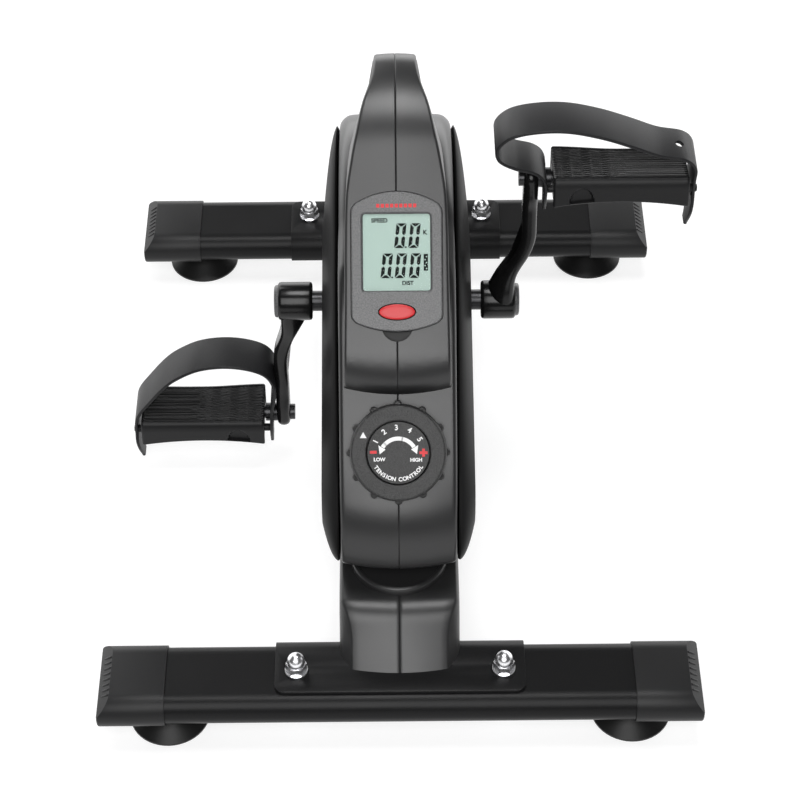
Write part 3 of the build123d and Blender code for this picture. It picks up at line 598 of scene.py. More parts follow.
def core_section(total, rounding):
    """(x, depth) pairs across the round body, from the seam to deep behind the side cover."""
    crown = 0.8 + 3.2 * smoothstep(30, -60, total)
    section = list(SEAM_GROOVE)
    for k in range(8):
        x = 0.9 + 26.0 * k / 7
        section.append((x, crown * (x / STRIP_FLAT) ** 2))
    for x, crisp, rounded in STRIP_EDGE:
        section.append((x, crown * min(x / STRIP_FLAT, 1.0) ** 2 + crisp + (rounded - crisp) * rounding))
    return section


def core_half():
    """Right half of the round body: a band along the outline."""
    outline = core_outline()
    points = []
    for (y, z), (ny, nz) in zip(outline, outward_normals(outline)):
        total = y + z if y < -100 else 200.0
        section = core_section(total, shoulder_share(y, z))
        for x, depth in section:
            points.append((x, y - ny * depth, z - nz * depth))
    faces = grid_faces(len(outline), len(section), wrap_rows=True)
    return new_object("round_body_right", points, faces, HOUSING, 50)


# ---- spine: handle and console deck ---------------------------------------------------------
# Half-width of the spine at values of y + z along its upper surface.
SPINE_WIDTHS = (
    (420, 14.2), (396, 15.4), (381, 17.6), (359, 22.6), (328, 27.2), (307, 30.2), (266, 34.2),
    (165, 35.5), (92, 36.4), (60, 36.6),
)
HANDLE_CENTRE = (40.0, 279.0)
HANDLE_BEND = 81.0
HANDLE_BACK = 30.0
HANDLE_THICK = 28.0
LEG_THICK = 25.0
LEG_TOP = 345.0              # below this the handle's back leg grows steadily wider
LEG_BACK = ((73.2, 262.0), (72.2, 284.0), (71.2, 302.0), (70.4, 318.0))
DECK_BULGE = 4.6             # how far the middle of the deck's end stands forward
DECK_ROLL = 27.0             # how long the deck's end is, measured along the slope
ROLL_STEPS = 14
DECK_STEP = (DECK - PANEL) / ROOT2
DECK_END = 86.0              # y + z where the deck's end meets the knob panel


def spine_stations():
    """(outer point, inward direction, thickness, how far the middle bulges out) along the spine."""
    stations = []
    for point in LEG_BACK:
        stations.append((point, (-1.0, 0.03), LEG_THICK, 0.0))
    top = (HANDLE_CENTRE[0], HANDLE_CENTRE[1] + HANDLE_BEND)
    back = (top[0], top[1] - HANDLE_BACK)
    for y, z in arc(back, HANDLE_BACK, 4, 90, 16):
        inward = ((back[0] - y) / HANDLE_BACK, (back[1] - z) / HANDLE_BACK)
        thick = HANDLE_THICK if y - back[0] < HANDLE_BACK / 2 else LEG_THICK
        stations.append(((y, z), inward, thick, 0.0))
    for y, z in arc(HANDLE_CENTRE, HANDLE_BEND, 90, 135, 22)[1:]:
        inward = ((HANDLE_CENTRE[0] - y) / HANDLE_BEND, (HANDLE_CENTRE[1] - z) / HANDLE_BEND)
        stations.append(((y, z), inward, HANDLE_THICK, 0.0))
    bend = stations[-1][0]
    start_total = DECK_END + DECK_ROLL * ROOT2
    deck_stop = ((start_total - DECK) / 2, (start_total + DECK) / 2)
    down = (1 / ROOT2, -1 / ROOT2)
    for point in run(bend, deck_stop, 30) + [deck_stop]:
        stations.append((point, down, HANDLE_THICK, 0.0))
    for k in range(1, ROLL_STEPS + 1):
        turn = radians(90 * k / ROLL_STEPS)
        along = DECK_ROLL * sin(turn)
        drop = (DECK_STEP + 1.0) * (1 - cos(turn))
        y = deck_stop[0] - along / ROOT2 + drop / ROOT2
        z = deck_stop[1] - along / ROOT2 - drop / ROOT2
        stations.append(((y, z), down, HANDLE_THICK - drop, DECK_BULGE * sin(turn)))
    return stations


def spine_section(width, thick, edge, draft):
    """(x, depth) pairs from the seam, over the edge and round to the seam underneath."""
    low = 6.0                # radius of the lower edge
    crown = 0.9              # fall from the middle to the edge
    flat = width - edge
    section = list(SEAM_GROOVE)
    for x in [0.9 + (flat - 1.5) * k / 6 for k in range(7)] + [flat]:
        section.append((x, crown * (x / width) ** 2))
    drop = crown * (flat / width) ** 2
    for k in range(1, 6):
        turn = radians(90 - 18 * k)
        section.append((flat + edge * cos(turn), drop + edge * (1 - sin(turn))))
    for k in range(7):
        turn = radians(15 * k)
        depth = thick - low + low * sin(turn)
        section.append((width + draft - low + low * cos(turn), max(depth, drop + edge)))
    section.append((0.0, max(thick, drop + edge)))
    return section


def spine_half():
    """Right half of the spine: handle, console deck and its rolled-off end."""
    stations = spine_stations()
    points = []
    for (y, z), (dy, dz), thick, bulge in stations:
        total = y + z
        if y > 60 and z < LEG_TOP:
            total = 396 - (LEG_TOP - z) * 0.45
        width = read_table(SPINE_WIDTHS, total)
        section = spine_section(width, thick, 2.0, 2.6 * smoothstep(250, 330, total))
        for x, depth in section:
            push = bulge * (1 - (x / width) ** 2) / ROOT2
            points.append((x, y + dy * depth - push, z + dz * depth - push))
    faces = grid_faces(len(stations), len(section))
    return new_object("handle_deck_right", points, faces, HOUSING, 50)


def console_outline(grow=0.0, steps=18):
    """Outline of the console: straight sides with an arched top and bottom."""
    half = 30.7 + grow
    top, bottom, apex = 37.1, -39.8, 47.1 + grow
    corner = 4.0
    outline = []
    for sign, side_end in ((1, top), (-1, -bottom)):
        rise = apex - side_end
        radius = (half * half + rise * rise) / (2 * rise)
        reach = atan2(half - corner, radius - rise)
        centre = apex - radius
        span = [
            (radius * sin(reach * (1 - 2 * k / steps)), centre + radius * cos(reach * (1 - 2 * k / steps)))
            for k in range(steps + 1)
        ]
        edge = [(half, side_end - corner), (half - corner * 0.12, side_end - corner * 0.35)]
        far_edge = [(-x, v) for x, v in reversed(edge)]
        part = edge + span + far_edge
        outline += [(sign * x, sign * v) for x, v in part]
    return outline


def cut_pocket(piece, outline, depth, reach):
    """Cut a convex outline on the console's slope out of a surface, and give the hole walls."""
    tool = bmesh.new()
    tool.from_mesh(piece.data)
    origin = Vector(ON_CONSOLE(0, 0, 0)) * MM
    normal = (SLOPE_TURN @ Vector((0, 0, 1, 0))).to_3d()
    inverse = SLOPE_TURN.to_3x3().inverted()

    def local(point):
        return inverse @ (point - origin) / MM

    def near(face):
        middle = local(face.calc_center_median())
        return abs(middle.z) < reach and abs(middle.x) < 60 and abs(middle.y) < 70

    sides = [
        (a, b) for a, b in zip(outline, outline[1:] + outline[:1])
        if hypot(b[0] - a[0], b[1] - a[1]) >= 0.01
    ]
    for a, b in sides:
        start = Vector(ON_CONSOLE(a[0], a[1], 0)) * MM
        end = Vector(ON_CONSOLE(b[0], b[1], 0)) * MM
        faces = [face for face in tool.faces if near(face)]
        geometry = set(faces)
        for face in faces:
            geometry.update(face.edges)
            geometry.update(face.verts)
        bmesh.ops.bisect_plane(tool, geom=list(geometry), dist=1e-7, plane_co=start,
                               plane_no=(end - start).cross(normal))

    def inside(point, slack):
        for a, b in sides:
            along = (b[0] - a[0], b[1] - a[1])
            if cross(along, (point.x - a[0], point.y - a[1])) / hypot(*along) < -slack:
                return False
        return True

    doomed = [face for face in tool.faces if near(face) and inside(local(face.calc_center_median()), 0.0)]
    bmesh.ops.delete(tool, geom=doomed, context="FACES")
    rim = []
    for edge in tool.edges:
        spots = [local(vert.co) for vert in edge.verts]
        if edge.is_boundary and all(abs(spot.z) < reach and inside(spot, 0.02) for spot in spots):
            if not all(abs(spot.x) < 0.01 for spot in spots):
                rim.append(edge)
    made = bmesh.ops.extrude_edge_only(tool, edges=rim)
    for vert in made["geom"]:
        if isinstance(vert, bmesh.types.BMVert):
            vert.co -= normal * depth * MM
    bmesh.ops.recalc_face_normals(tool, faces=tool.faces)
    tool.to_mesh(piece.data)
    tool.free()


NOTCH_CENTRE = -43.5         # thumb notch below the console
NOTCH_RADIUS = 10.5
NOTCH_DEEP = 4.5

spine = spine_half()
cut_pocket(spine, console_outline(0.45), 14.0, 5.0)
notch = arc((0.0, NOTCH_CENTRE), NOTCH_RADIUS, 0, 360, 40)[:-1]
cut_pocket(spine, notch, NOTCH_DEEP, 5.0)
notch_floor = arc((0.0, NOTCH_CENTRE), NOTCH_RADIUS + 0.1, 90, -90, 20)
floor_points = [ON_CONSOLE(u, v, -NOTCH_DEEP) for u, v in notch_floor]
floor_piece = new_object("notch_floor_right", floor_points, [tuple(range(len(floor_points)))], DARK)
place(mirrored(floor_piece, "notch_floor_left"), "frame", "housing_plastic")
place(floor_piece, "frame", "housing_plastic")
shade(spine, 50)
place_pair(spine, "handle_shell_left", "housing_plastic", "handle")
place_pair(core_half(), "round_body_left", "housing_plastic", "housing")


# ---- post cover and collar ------------------------------------------------------------------
FACE_SECTION = (
    (0.0, 0.6), (0.14, 0.2), (0.4, 0.03), (3.0, 0.05), (8.0, 0.15), (15.0, 0.5), (22.0, 1.1), (28.0, 1.7),
    (32.6, 2.3), (33.6, 2.6), (34.2, 3.3), (36.0, 5.4), (38.8, 8.8), (41.0, 12.0), (42.0, 15.5), (42.0, 30.0),
)
SHOULDER_SECTION = (
    (0.0, 0.6), (0.14, 0.2), (0.4, 0.03), (3.0, 0.03), (8.0, 0.06), (16.0, 0.15), (25.0, 0.3), (33.0, 0.5),
    (39.2, 0.8), (40.2, 1.1), (40.9, 1.7), (41.4, 2.6), (41.8, 4.2), (42.0, 6.5), (42.0, 10.0), (42.0, 18.0),
)
POST_FOOT = (-242.0, 48.0)
POST_TOP = 80.0


def post_cover_half():
    """Right half of the sleeve between the rear tube and the nose."""
    bend_radius = 24.0
    bend_steps = 8
    corner = (POST_FOOT[0] + POST_TOP - POST_FOOT[1], POST_TOP)
    tangent = bend_radius * tan(radians(22.5))
    path = run(POST_FOOT, (corner[0] - tangent / ROOT2, POST_TOP - tangent / ROOT2), 14)
    path = [((y, z), 45.0) for y, z in [POST_FOOT] + path]
    centre = (corner[0] + tangent, POST_TOP - bend_radius)
    for k, spot in enumerate(arc(centre, bend_radius, 135, 90, bend_steps)):
        path.append((spot, 45.0 - 45.0 * k / bend_steps))
    for y in range(-190, -128, 6):
        path.append(((float(y), POST_TOP), 0.0))
    points = []
    for (y, z), tilt in path:
        share = smoothstep(-226.0, -196.0, y)
        inward = (sin(radians(tilt)), -cos(radians(tilt)))
        for (fx, fd), (sx, sd) in zip(FACE_SECTION, SHOULDER_SECTION):
            x = fx + (sx - fx) * share
            depth = fd + (sd - fd) * share
            points.append((x, y + inward[0] * depth, max(z + inward[1] * depth, 38.0)))
    faces = grid_faces(len(path), len(FACE_SECTION))
    return new_object("post_half", points, faces, HOUSING, 50)


half = post_cover_half()
sleeve = join([half, mirrored(half, "post_other_half")], "post_sleeve")
shade(sleeve, 50)
place(sleeve, "frame", "housing_plastic", "post_cover")
COLLAR_BOX = box_mm("post_collar")
COLLAR_RADIUS = (COLLAR_BOX[1].x - COLLAR_BOX[0].x) / 2
COLLAR_PROFILE = (
    (COLLAR_RADIUS - 12, 79.0), (COLLAR_RADIUS, 79.0), (COLLAR_RADIUS, 84.2), (COLLAR_RADIUS - 0.5, 85.3),
    (COLLAR_RADIUS - 1.6, 86.0), (COLLAR_RADIUS - 3.0, 86.0), (COLLAR_RADIUS - 3.4, 85.4), (8.0, 85.4),
)
collar = turned("collar_ring", COLLAR_PROFILE, (0.0, COLLAR_BOX[0].y + COLLAR_RADIUS), HOUSING)
place(collar, "frame", "housing_plastic", "post_collar")


# ---- cranks ---------------------------------------------------------------------------------
def arm_outline(amount):
    """Side outline of the arm round the boss and the eye, drawn inwards, about the crank's axis."""
    boss, eye = 13.0 - amount, 10.5 - amount
    outline = arc((0.0, CRANK_LENGTH), eye, 2, 178, 20)
    outline += run((-eye, CRANK_LENGTH), (-boss, 0.0), 30)
    outline += arc((0.0, 0.0), boss, 180, 360, 20)
    outline += run((boss, 0.0), (eye, CRANK_LENGTH), 30)
    return outline


ARM_FOOT = 80.6              # middle of the arm at the boss, from the middle plane
ARM_EYE = 91.25              # middle of the arm at the eye, before the pedals' shift
# Half of the arm's rounded section: how far inside its outline, and how far towards one face.
ARM_EDGE = ((9.6, 1.0), (7.5, 1.0), (4.4, 0.97), (2.4, 0.86), (1.1, 0.66), (0.3, 0.36))
BOSS_PROFILE = (
    (8.0, 61.8), (12.6, 62.0), (13.8, 62.8), (14.2, 64.2), (14.2, 84.6), (13.8, 86.2), (12.8, 87.0),
    (12.3, 87.0), (12.2, 86.0),
)
LID_PROFILE = ((12.0, 86.0), (12.0, 88.4), (11.5, 89.5), (10.2, 90.0), (9.2, 89.7), (8.6, 89.7))


def arm_middle(height, eye_middle):
    """Distance from the middle plane to the arm's centre, at a height above the crank's axis."""
    bulge = 2.2 * exp(-((height - 48) / 16.0) ** 2)
    return ARM_FOOT + (eye_middle - ARM_FOOT) * smoothstep(22, 72, height) + bulge


def crank_arm(name, shift):
    """Upright right-hand crank about its own axis: boss, web, S-bend and eye."""
    half = ARM_THICK / 2
    rows = [(amount, -side) for amount, side in ARM_EDGE] + [(0.0, 0.0)] + list(reversed(ARM_EDGE))
    rings = []
    for amount, side in rows:
        ring = []
        for y, height in arm_outline(amount):
            x = arm_middle(height, ARM_EYE + shift) + side * half
            if side < 0:
                x += side * 11.0 * (1 - smoothstep(8, 36, height)) * (1 - abs(y) / 20)
            narrow = 1 - 0.22 * smoothstep(14, 40, height) * (1 - smoothstep(92, 106, height))
            ring.append((x, y * narrow, height))
        rings.append(ring)
    arm = lofted(name + "_bar", rings, ENAMEL, 60)
    drum = rod(name + "_boss", BOSS_PROFILE, 64, ENAMEL)
    lid = rod(name + "_cap", LID_PROFILE, 64, BEZEL)
    whole = join([arm, drum], name)
    shade(whole, 60)
    return whole, lid


def to_crank(flip):
    """Move a part from the crank's own axis into the frame; flip puts it on the left, pointing down."""
    there = Matrix.Translation((0, CRANK[0], CRANK[1]))
    if flip:
        return there @ Matrix.Rotation(pi, 4, "X") @ FLIP_X
    return there


lids = []
for side, shift, flip in (("right", PEDAL_SHIFT, False), ("left", -PEDAL_SHIFT, True)):
    arm, lid = crank_arm("crank_" + side, shift)
    moved(arm, to_crank(flip))
    moved(lid, to_crank(flip))
    place(arm, "crank", "crank_enamel", "crank_arm_" + side)
    lids.append(lid)
place(join(lids, "crank_end_caps"), "crank", "crank_cap_plastic", "crank_caps")


# ---- pedals ---------------------------------------------------------------------------------
PEDAL_HALF = 21.5
PEDAL_TOP = 8.0
PEDAL_BOTTOM = -15.0
RIB_PITCH = 2.7
SCALLOP = (125.5, 8.6, 2.4)  # the front's hollow: its middle, half-width and depth
CAVITY_POINTS = 4            # the last points of a section, inside the pedal
PEG = (-13.0, -4.0)          # y, z of the pegs that hold the strap


def pedal_ring(x):
    """Closed section of the pedal at a distance from the middle plane: outside, then cavity."""
    half = PEDAL_HALF
    share = (x - PEDAL_IN) / (PEDAL_OUT - PEDAL_IN)
    arch = 4.4 * (1 - (2 * share - 1) ** 2)
    bottom = PEDAL_BOTTOM + arch
    inner_half = 1 - smoothstep(0.30, 0.62, share)
    zigzag = 1.5 * inner_half * (abs((x / 7.0) % 2 - 1) - 0.5)
    edge = smoothstep(0.0, 0.035, share) * smoothstep(1.0, 0.965, share)
    back_lift = 2.4 * (1 - smoothstep(0.0, 0.5, share)) + 0.8 * smoothstep(0.6, 1.0, share)
    outer = [(-half + 3.2, bottom), (-half + 0.6, bottom + 0.3), (-half, bottom + 1.2)]
    scallop = max(0.0, 1 - ((x - SCALLOP[0]) / SCALLOP[1]) ** 2)
    front_top = PEDAL_TOP - 8.4

    def dent(z):
        return SCALLOP[2] * smoothstep(0.0, 0.16, scallop - ((z - bottom) / 13.5) ** 2)

    for k in range(1, 20):
        z = bottom + 1.2 + (front_top - bottom - 1.2) * k / 19
        outer.append((-half + dent(z), z))
    for k in range(1, 15):
        turn = radians(180 - 90 * k / 14)
        z = front_top + 8.2 * sin(turn)
        outer.append((-half + 4.6 + 4.6 * cos(turn) + dent(z), z))
    steps = 150
    span = 2 * half - 7.1
    for k in range(1, steps):
        y = -half + 4.6 + span * k / steps
        dish = 1.6 * (1 - (y / half) ** 2)
        rib = 0.95 * smoothstep(0.15, 0.75, 0.5 + 0.5 * cos(2 * pi * (y + zigzag) / RIB_PITCH))
        rib *= edge * smoothstep(-16.6, -15.6, y) * smoothstep(19.0, 17.8, y)
        lowered = 0.2 + dish + 0.75 * edge * smoothstep(-16.9, -16.1, y)
        outer.append((y, PEDAL_TOP - lowered + rib + back_lift * smoothstep(4, half, y)))
    outer += arc((half - 2.5, PEDAL_TOP - 2.8 + back_lift), 2.5, 90, 0, 6)
    outer += [(half, 0.0), (half, bottom + 1.2), (half - 0.6, bottom + 0.3), (half - 3.2, bottom)]
    cavity = [(half - 3.2, 1.0), (half - 6, 3.0), (-half + 7, 2.2), (-half + 5.6, -2.0)]
    return outer + cavity


def pedal_block(name):
    """Right-hand pedal about its spindle: ribbed tread, scalloped front, hollow underside."""
    spots = [PEDAL_IN, PEDAL_IN + 0.4, PEDAL_IN + 1.2]
    steps = 84
    spots += [PEDAL_IN + 1.2 + (PEDAL_OUT - PEDAL_IN - 2.4) * k / steps for k in range(1, steps)]
    spots += [PEDAL_OUT - 1.2, PEDAL_OUT - 0.4, PEDAL_OUT]
    rings = []
    for x in spots:
        close = min(x - PEDAL_IN, PEDAL_OUT - x)
        tuck = 0.8 * (1 - min(close / 1.2, 1.0)) ** 2
        ring = pedal_ring(x)
        narrow = [1 - tuck / PEDAL_HALF] * (len(ring) - CAVITY_POINTS) + [1.0] * CAVITY_POINTS
        rings.append([(x, y * share, z - (tuck if z > 0 else 0)) for (y, z), share in zip(ring, narrow)])
    shell = lofted(name + "_shell", rings, PEDAL, 45, close_start=False, close_end=False)
    parts = [shell]
    for x in (PEDAL_IN + 0.4, PEDAL_OUT - 2.4, PEDAL_IN + 30, PEDAL_OUT - 33):
        at_end = x < PEDAL_IN + 1 or x > PEDAL_OUT - 3
        bottom = PEDAL_BOTTOM + (0.4 if at_end else 6.0)
        wall = [
            (-PEDAL_HALF + 1.2, bottom), (-PEDAL_HALF + 1.0, 3.0), (-PEDAL_HALF + 5, PEDAL_TOP - 3),
            (0.0, PEDAL_TOP - 4.6), (PEDAL_HALF - 4, PEDAL_TOP - 3), (PEDAL_HALF - 1.0, 3.0),
            (PEDAL_HALF - 1.2, bottom),
        ]
        parts.append(lofted(name + "_wall", [[(x + d, y, z) for y, z in wall] for d in (0.0, 2.0)], PEDAL))
    tube = ((4.4, PEDAL_IN + 1), (5.0, PEDAL_IN + 1), (5.0, PEDAL_OUT - 1), (4.4, PEDAL_OUT - 1))
    parts.append(rod(name + "_tube", tube, 32, PEDAL))
    for start, end, blunt in ((PEDAL_OUT - 2, PEDAL_OUT + 6, -0.8), (PEDAL_IN + 2, PEDAL_IN - 7, 0.8)):
        peg = ((2.9, start), (2.9, end + blunt), (2.3, end))
        parts.append(rod(name + "_nub", peg, 24, PEDAL, 40.0, *PEG))
    whole = join(parts, name)
    shade(whole, 45)
    return whole


def smooth_path(points, steps):
    """Catmull-Rom line through given points."""
    line = []
    last = len(points) - 1
    for index in range(last):
        p0, p1 = points[max(index - 1, 0)], points[index]
        p2, p3 = points[index + 1], points[min(index + 2, last)]
        for k in range(steps):
            t = k / steps
            line.append(tuple(
                0.5 * (2 * b + (c - a) * t + (2 * a - 5 * b + 4 * c - d) * t * t
                       + (3 * b - a - 3 * c + d) * t ** 3)
                for a, b, c, d in zip(p0, p1, p2, p3)))
    line.append(points[last])
    return line


# Strap centre lines: distance from the middle plane before the shift, and height above the spindle.
LEFT_STRAP = (
    (201.0, -33), (203.0, -20), (204.2, -8), (202.5, 10), (191, 28), (179, 43.5), (168, 53), (153, 61),
    (136, 64), (120, 62.5), (106, 57), (98.7, 48), (96.5, 34), (99.6, 14), (100.2, -3), (100.4, -17),
)
RIGHT_STRAP = (
    (200.5, -32), (202.4, -19), (203.4, -7), (203.6, 8), (203.4, 19), (196, 27), (178, 31), (159, 39),
    (138, 47), (115, 52.5), (94, 52.5), (76, 48), (66.5, 38), (68, 27.5), (79, 20.5), (92, 16.5),
    (99.6, 9), (100.4, -4), (100.4, -17),
)


STRAP_END = 0.30             # width of the strap's ends, as a share of its full width
STRAP_SWAY = -9.5            # the ends sit this much towards the front
STRAP_EDGE = 0.95


def strap_band(name, points, holes):
    """Right-hand strap about its spindle: an even band with rounded edges, narrowing at its ends."""
    line = smooth_path(points, 8)
    total = [0.0]
    for a, b in zip(line, line[1:]):
        total.append(total[-1] + hypot(b[0] - a[0], b[1] - a[1]))
    rings = []
    for index, (x, z) in enumerate(line):
        before, after = line[max(index - 1, 0)], line[min(index + 1, len(line) - 1)]
        reach = hypot(after[0] - before[0], after[1] - before[1])
        side = (-(after[1] - before[1]) / reach, (after[0] - before[0]) / reach)
        to_end = min(total[index], total[-1] - total[index])
        half = STRAP_HALF * (STRAP_END + (1 - STRAP_END) * smoothstep(-2.0, 24.0, to_end))
        sway = STRAP_SWAY * (1 - smoothstep(4.0, 34.0, to_end))
        section = rounded_rectangle(half, STRAP_THICK / 2, STRAP_EDGE, 4)
        rings.append([(x + side[0] * n, y + sway, z + side[1] * n) for y, n in section])
    strap = lofted(name, rings, STRAP, 60)
    cutters = []
    for start, end, radius in holes:
        start, end = Vector(start), Vector(end)
        tool = bmesh.new()
        bmesh.ops.create_cone(tool, cap_ends=True, segments=28, radius1=radius * MM, radius2=radius * MM,
                              depth=(end - start).length * MM)
        mesh = finished(tool, "cutter", STRAP)
        mesh.transform(aimed((start + end) / 2, end))
        cut = strap.modifiers.new("Hole", "BOOLEAN")
        cut.operation = "DIFFERENCE"
        cut.solver = "EXACT"
        cut.object = linked("cutter", mesh)
        cutters.append(cut.object)
    apply_modifiers(strap)
    for cutter in cutters:
        bpy.data.objects.remove(cutter)
    shade(strap, 45)
    return strap


def end_holes(tilt):
    """Holes over the pegs at both ends of the pedal, and the slot round the spindle."""
    y = PEG[0] * cos(radians(tilt)) - PEG[1] * sin(radians(tilt))
    z = PEG[0] * sin(radians(tilt)) + PEG[1] * cos(radians(tilt))
    return [
        ((195, y, z), (212, y, z), 3.05), ((110, y, z), (88, y, z), 3.05),
        ((110, 0, 0), (88, 0, 0), 8.5),
    ]


def to_pedal(side):
    """From a pedal's own spindle into the frame."""
    reach = CRANK_LENGTH if side == "right" else -CRANK_LENGTH
    there = Matrix.Translation((PEDAL_SHIFT, CRANK[0], CRANK[1] + reach))
    return there if side == "right" else there @ FLIP_X


ADJUST_HOLE = ((184.0, 0.0, 12.0), (201.0, 0.0, 44.0), 3.0)

for side, points, tilt, lift, extra in (
        ("right", RIGHT_STRAP, PEDAL_TILT, 3.2, [ADJUST_HOLE]), ("left", LEFT_STRAP, 0.0, 0.4, [])):
    body = side + "_pedal"
    block = pedal_block("tread_" + side)
    block.data.transform(Matrix.Translation((0, 0, lift * MM)) @ Matrix.Rotation(radians(tilt), 4, "X"))
    place(moved(block, to_pedal(side)), body, "pedal_plastic", "pedal_body_" + side)
    strap = strap_band("strap_band_" + side, points, end_holes(tilt) + extra)
    place(moved(strap, to_pedal(side)), body, "strap_rubber", "pedal_strap_" + side)


# ---- tension knob and dial ------------------------------------------------------------------
DIAL_TOP = 13.0
KNOB_TOP = 14.0
PRINT = 0.06                 # thickness of printed marks


def knob_ring():
    """Grip ring with a bright chamfer and twelve small rounded nubs round its foot."""
    profile = (
        (33.1, 0.3, 2.4), (33.1, 5.2, 2.4), (33.0, 6.2, 2.0), (32.9, 6.8, 1.2), (32.8, 7.2, 0.0),
        (32.5, 12.2, 0.0), (32.3, 13.0, 0.0), (31.6, 13.8, 0.0), (31.1, 14.0, 0.0), (30.5, 14.0, 0.0),
        (22.8, 14.0, 0.0), (22.2, 14.0, 0.0), (21.8, 13.6, 0.0), (21.6, 12.8, 0.0), (21.6, 6.0, 0.0),
    )
    steps = 720
    rings = []
    for radius, n, lobe in profile:
        ring = []
        for k in range(steps):
            angle = 360.0 * k / steps
            off = (angle + 15) % 30 - 15
            r = radius + lobe * sqrt(max(0.0, 1 - (off / 4.4) ** 2))
            ring.append(ON_KNOB(*polar(r, angle), n))
        rings.append(ring)
    return lofted("knob_grip", rings, KNOB, 50, close_start=False, close_end=False)


def polar(radius, degrees):
    """A point at a radius and angle on the dial."""
    return (radius * cos(radians(degrees)), radius * sin(radians(degrees)))


place(knob_ring(), "knob", "knob_plastic", "knob_ring")
dial_edge = arc((0.0, 0.0), 21.2, 0, 360, 120)[:-1]
dial_rows = ((0.0, 4.0), (0.0, 12.6), (0.4, DIAL_TOP), (0.8, DIAL_TOP))
dial = slab("dial_face", dial_edge, dial_rows, ON_KNOB, DIAL)
place(dial, "frame", "dial_plastic", "dial_disc")

pointer = flat_marks("pointer", [[(-25.9, 10.2), (-21.3, 10.2), (-23.6, 14.3)]], ON_KNOB, KNOB_TOP,
                     KNOB_TOP + PRINT, WHITE)
place(pointer, "knob", "knob_plastic")

marks = []


def print_on_dial(text, height, spot, turn, bold=0.13):
    """White lettering on the dial."""
    marks.append(lettering(text, height, ON_KNOB, spot, DIAL_TOP + PRINT, WHITE, turn, bold))


for digit, angle in zip("12345", (153, 124, 94, 63, 32)):
    print_on_dial(digit, 3.5, polar(17.0, angle), angle - 90, 0.14)
LOWER_WORDS = "TENSION CONTROL"
LETTER_WIDTHS = {"I": 0.5, " ": 0.6, "L": 0.85, "E": 0.9, "T": 0.9, "S": 0.95, "O": 1.15, "C": 1.1}
widths = [LETTER_WIDTHS.get(letter, 1.05) for letter in LOWER_WORDS]
passed = 0.0
for letter, width in zip(LOWER_WORDS, widths):
    angle = 209 + 122 * (passed + width / 2) / sum(widths)
    passed += width
    if letter != " ":
        print_on_dial(letter, 2.6, polar(18.0, angle), angle + 90)
print_on_dial("LOW", 2.3, (-12.8, -4.5), 0)
print_on_dial("HIGH", 2.3, (12.0, -4.9), 0)
ARC_CENTRE = (0.0, -2.8)
ARC_RADIUS = 12.5
ARC_HALF = 1.35              # half the width of the arc
ARC_STEPS = 28
outer_arc = arc(ARC_CENTRE, ARC_RADIUS + ARC_HALF, 148, 32, ARC_STEPS)
inner_arc = arc(ARC_CENTRE, ARC_RADIUS - ARC_HALF, 148, 32, ARC_STEPS)
sweeps = [[outer_arc[k], outer_arc[k + 1], inner_arc[k + 1], inner_arc[k]] for k in range(ARC_STEPS)]
heads = []
for mirror in (1, -1):
    head = [(12.6, -0.9), (8.6, 2.3), (13.4, 5.2)]
    heads.append([(mirror * u, v) for u, v in head][::mirror])
marks.append(flat_marks("arrow", sweeps + heads, ON_KNOB, DIAL_TOP, DIAL_TOP + PRINT, WHITE))
place(join(marks, "dial_print"), "frame", "dial_plastic")


def bar(centre, half_wide, half_tall):
    """A small rectangle."""
    u, v = centre
    return [(u - half_wide, v - half_tall), (u + half_wide, v - half_tall),
            (u + half_wide, v + half_tall), (u - half_wide, v + half_tall)]


signs = [bar((-16.9, 0.6), 2.3, 0.95), bar((17.0, 0.0), 2.7, 0.95), bar((17.0, 1.825), 0.95, 0.875),
         bar((17.0, -1.825), 0.95, 0.875)]
place(flat_marks("dial_signs", signs, ON_KNOB, DIAL_TOP, DIAL_TOP + PRINT, RED), "frame", "dial_plastic")


# ---- console --------------------------------------------------------------------------------
WINDOW_UP = 6.1
WINDOW_HALF = (22.65, 25.8)
LIP = 2.0


def even_outline(outline, steps):
    """A closed outline seen along even rays from the window's centre."""
    points = []
    for k in range(steps):
        ray = (cos(2 * pi * k / steps), sin(2 * pi * k / steps))
        reach = 0.0
        for a, b in zip(outline, outline[1:] + outline[:1]):
            start = (a[0], a[1] - WINDOW_UP)
            along = (b[0] - a[0], b[1] - a[1])
            turn = cross(along, ray)
            if abs(turn) < 1e-9:
                continue
            share = cross(ray, start) / turn
            if -1e-6 <= share <= 1 + 1e-6:
                reach = max(reach, -cross(start, along) / turn)
        points.append((reach * ray[0], reach * ray[1] + WINDOW_UP))
    return points


def bezel_plate():
    """Bezel with a softly rounded outside and a chamfered window."""
    steps = 240
    outside = even_outline(console_outline(0.0), steps)
    window = even_outline(rounded_rectangle(WINDOW_HALF[0], WINDOW_HALF[1], 1.6, 6, (0.0, WINDOW_UP)), steps)
    rings = []
    for amount, n in ((0.3, -1.0), (0.0, 0.2), (0.0, 1.2), (0.25, 1.7), (0.7, LIP), (1.1, LIP)):
        rings.append([ON_CONSOLE(u, v, n) for u, v in inset(outside, amount)])
    for amount, n in ((-1.7, LIP), (-1.3, LIP), (-0.3, 1.3), (0.0, 0.9), (0.0, -0.1)):
        rings.append([ON_CONSOLE(u, v, n) for u, v in inset(window, amount)])
    return lofted("bezel_frame", rings, BEZEL, 40, close_start=False, close_end=False)


place(bezel_plate(), "console", "bezel_plastic", "console_bezel")

SEGMENT_HALF = 1.2           # half the width of a digit's segment
SLANT = 0.11                 # how far the digits lean, per unit of height
INK_LEVEL = 0.12             # top of the digits, above the deck's plane


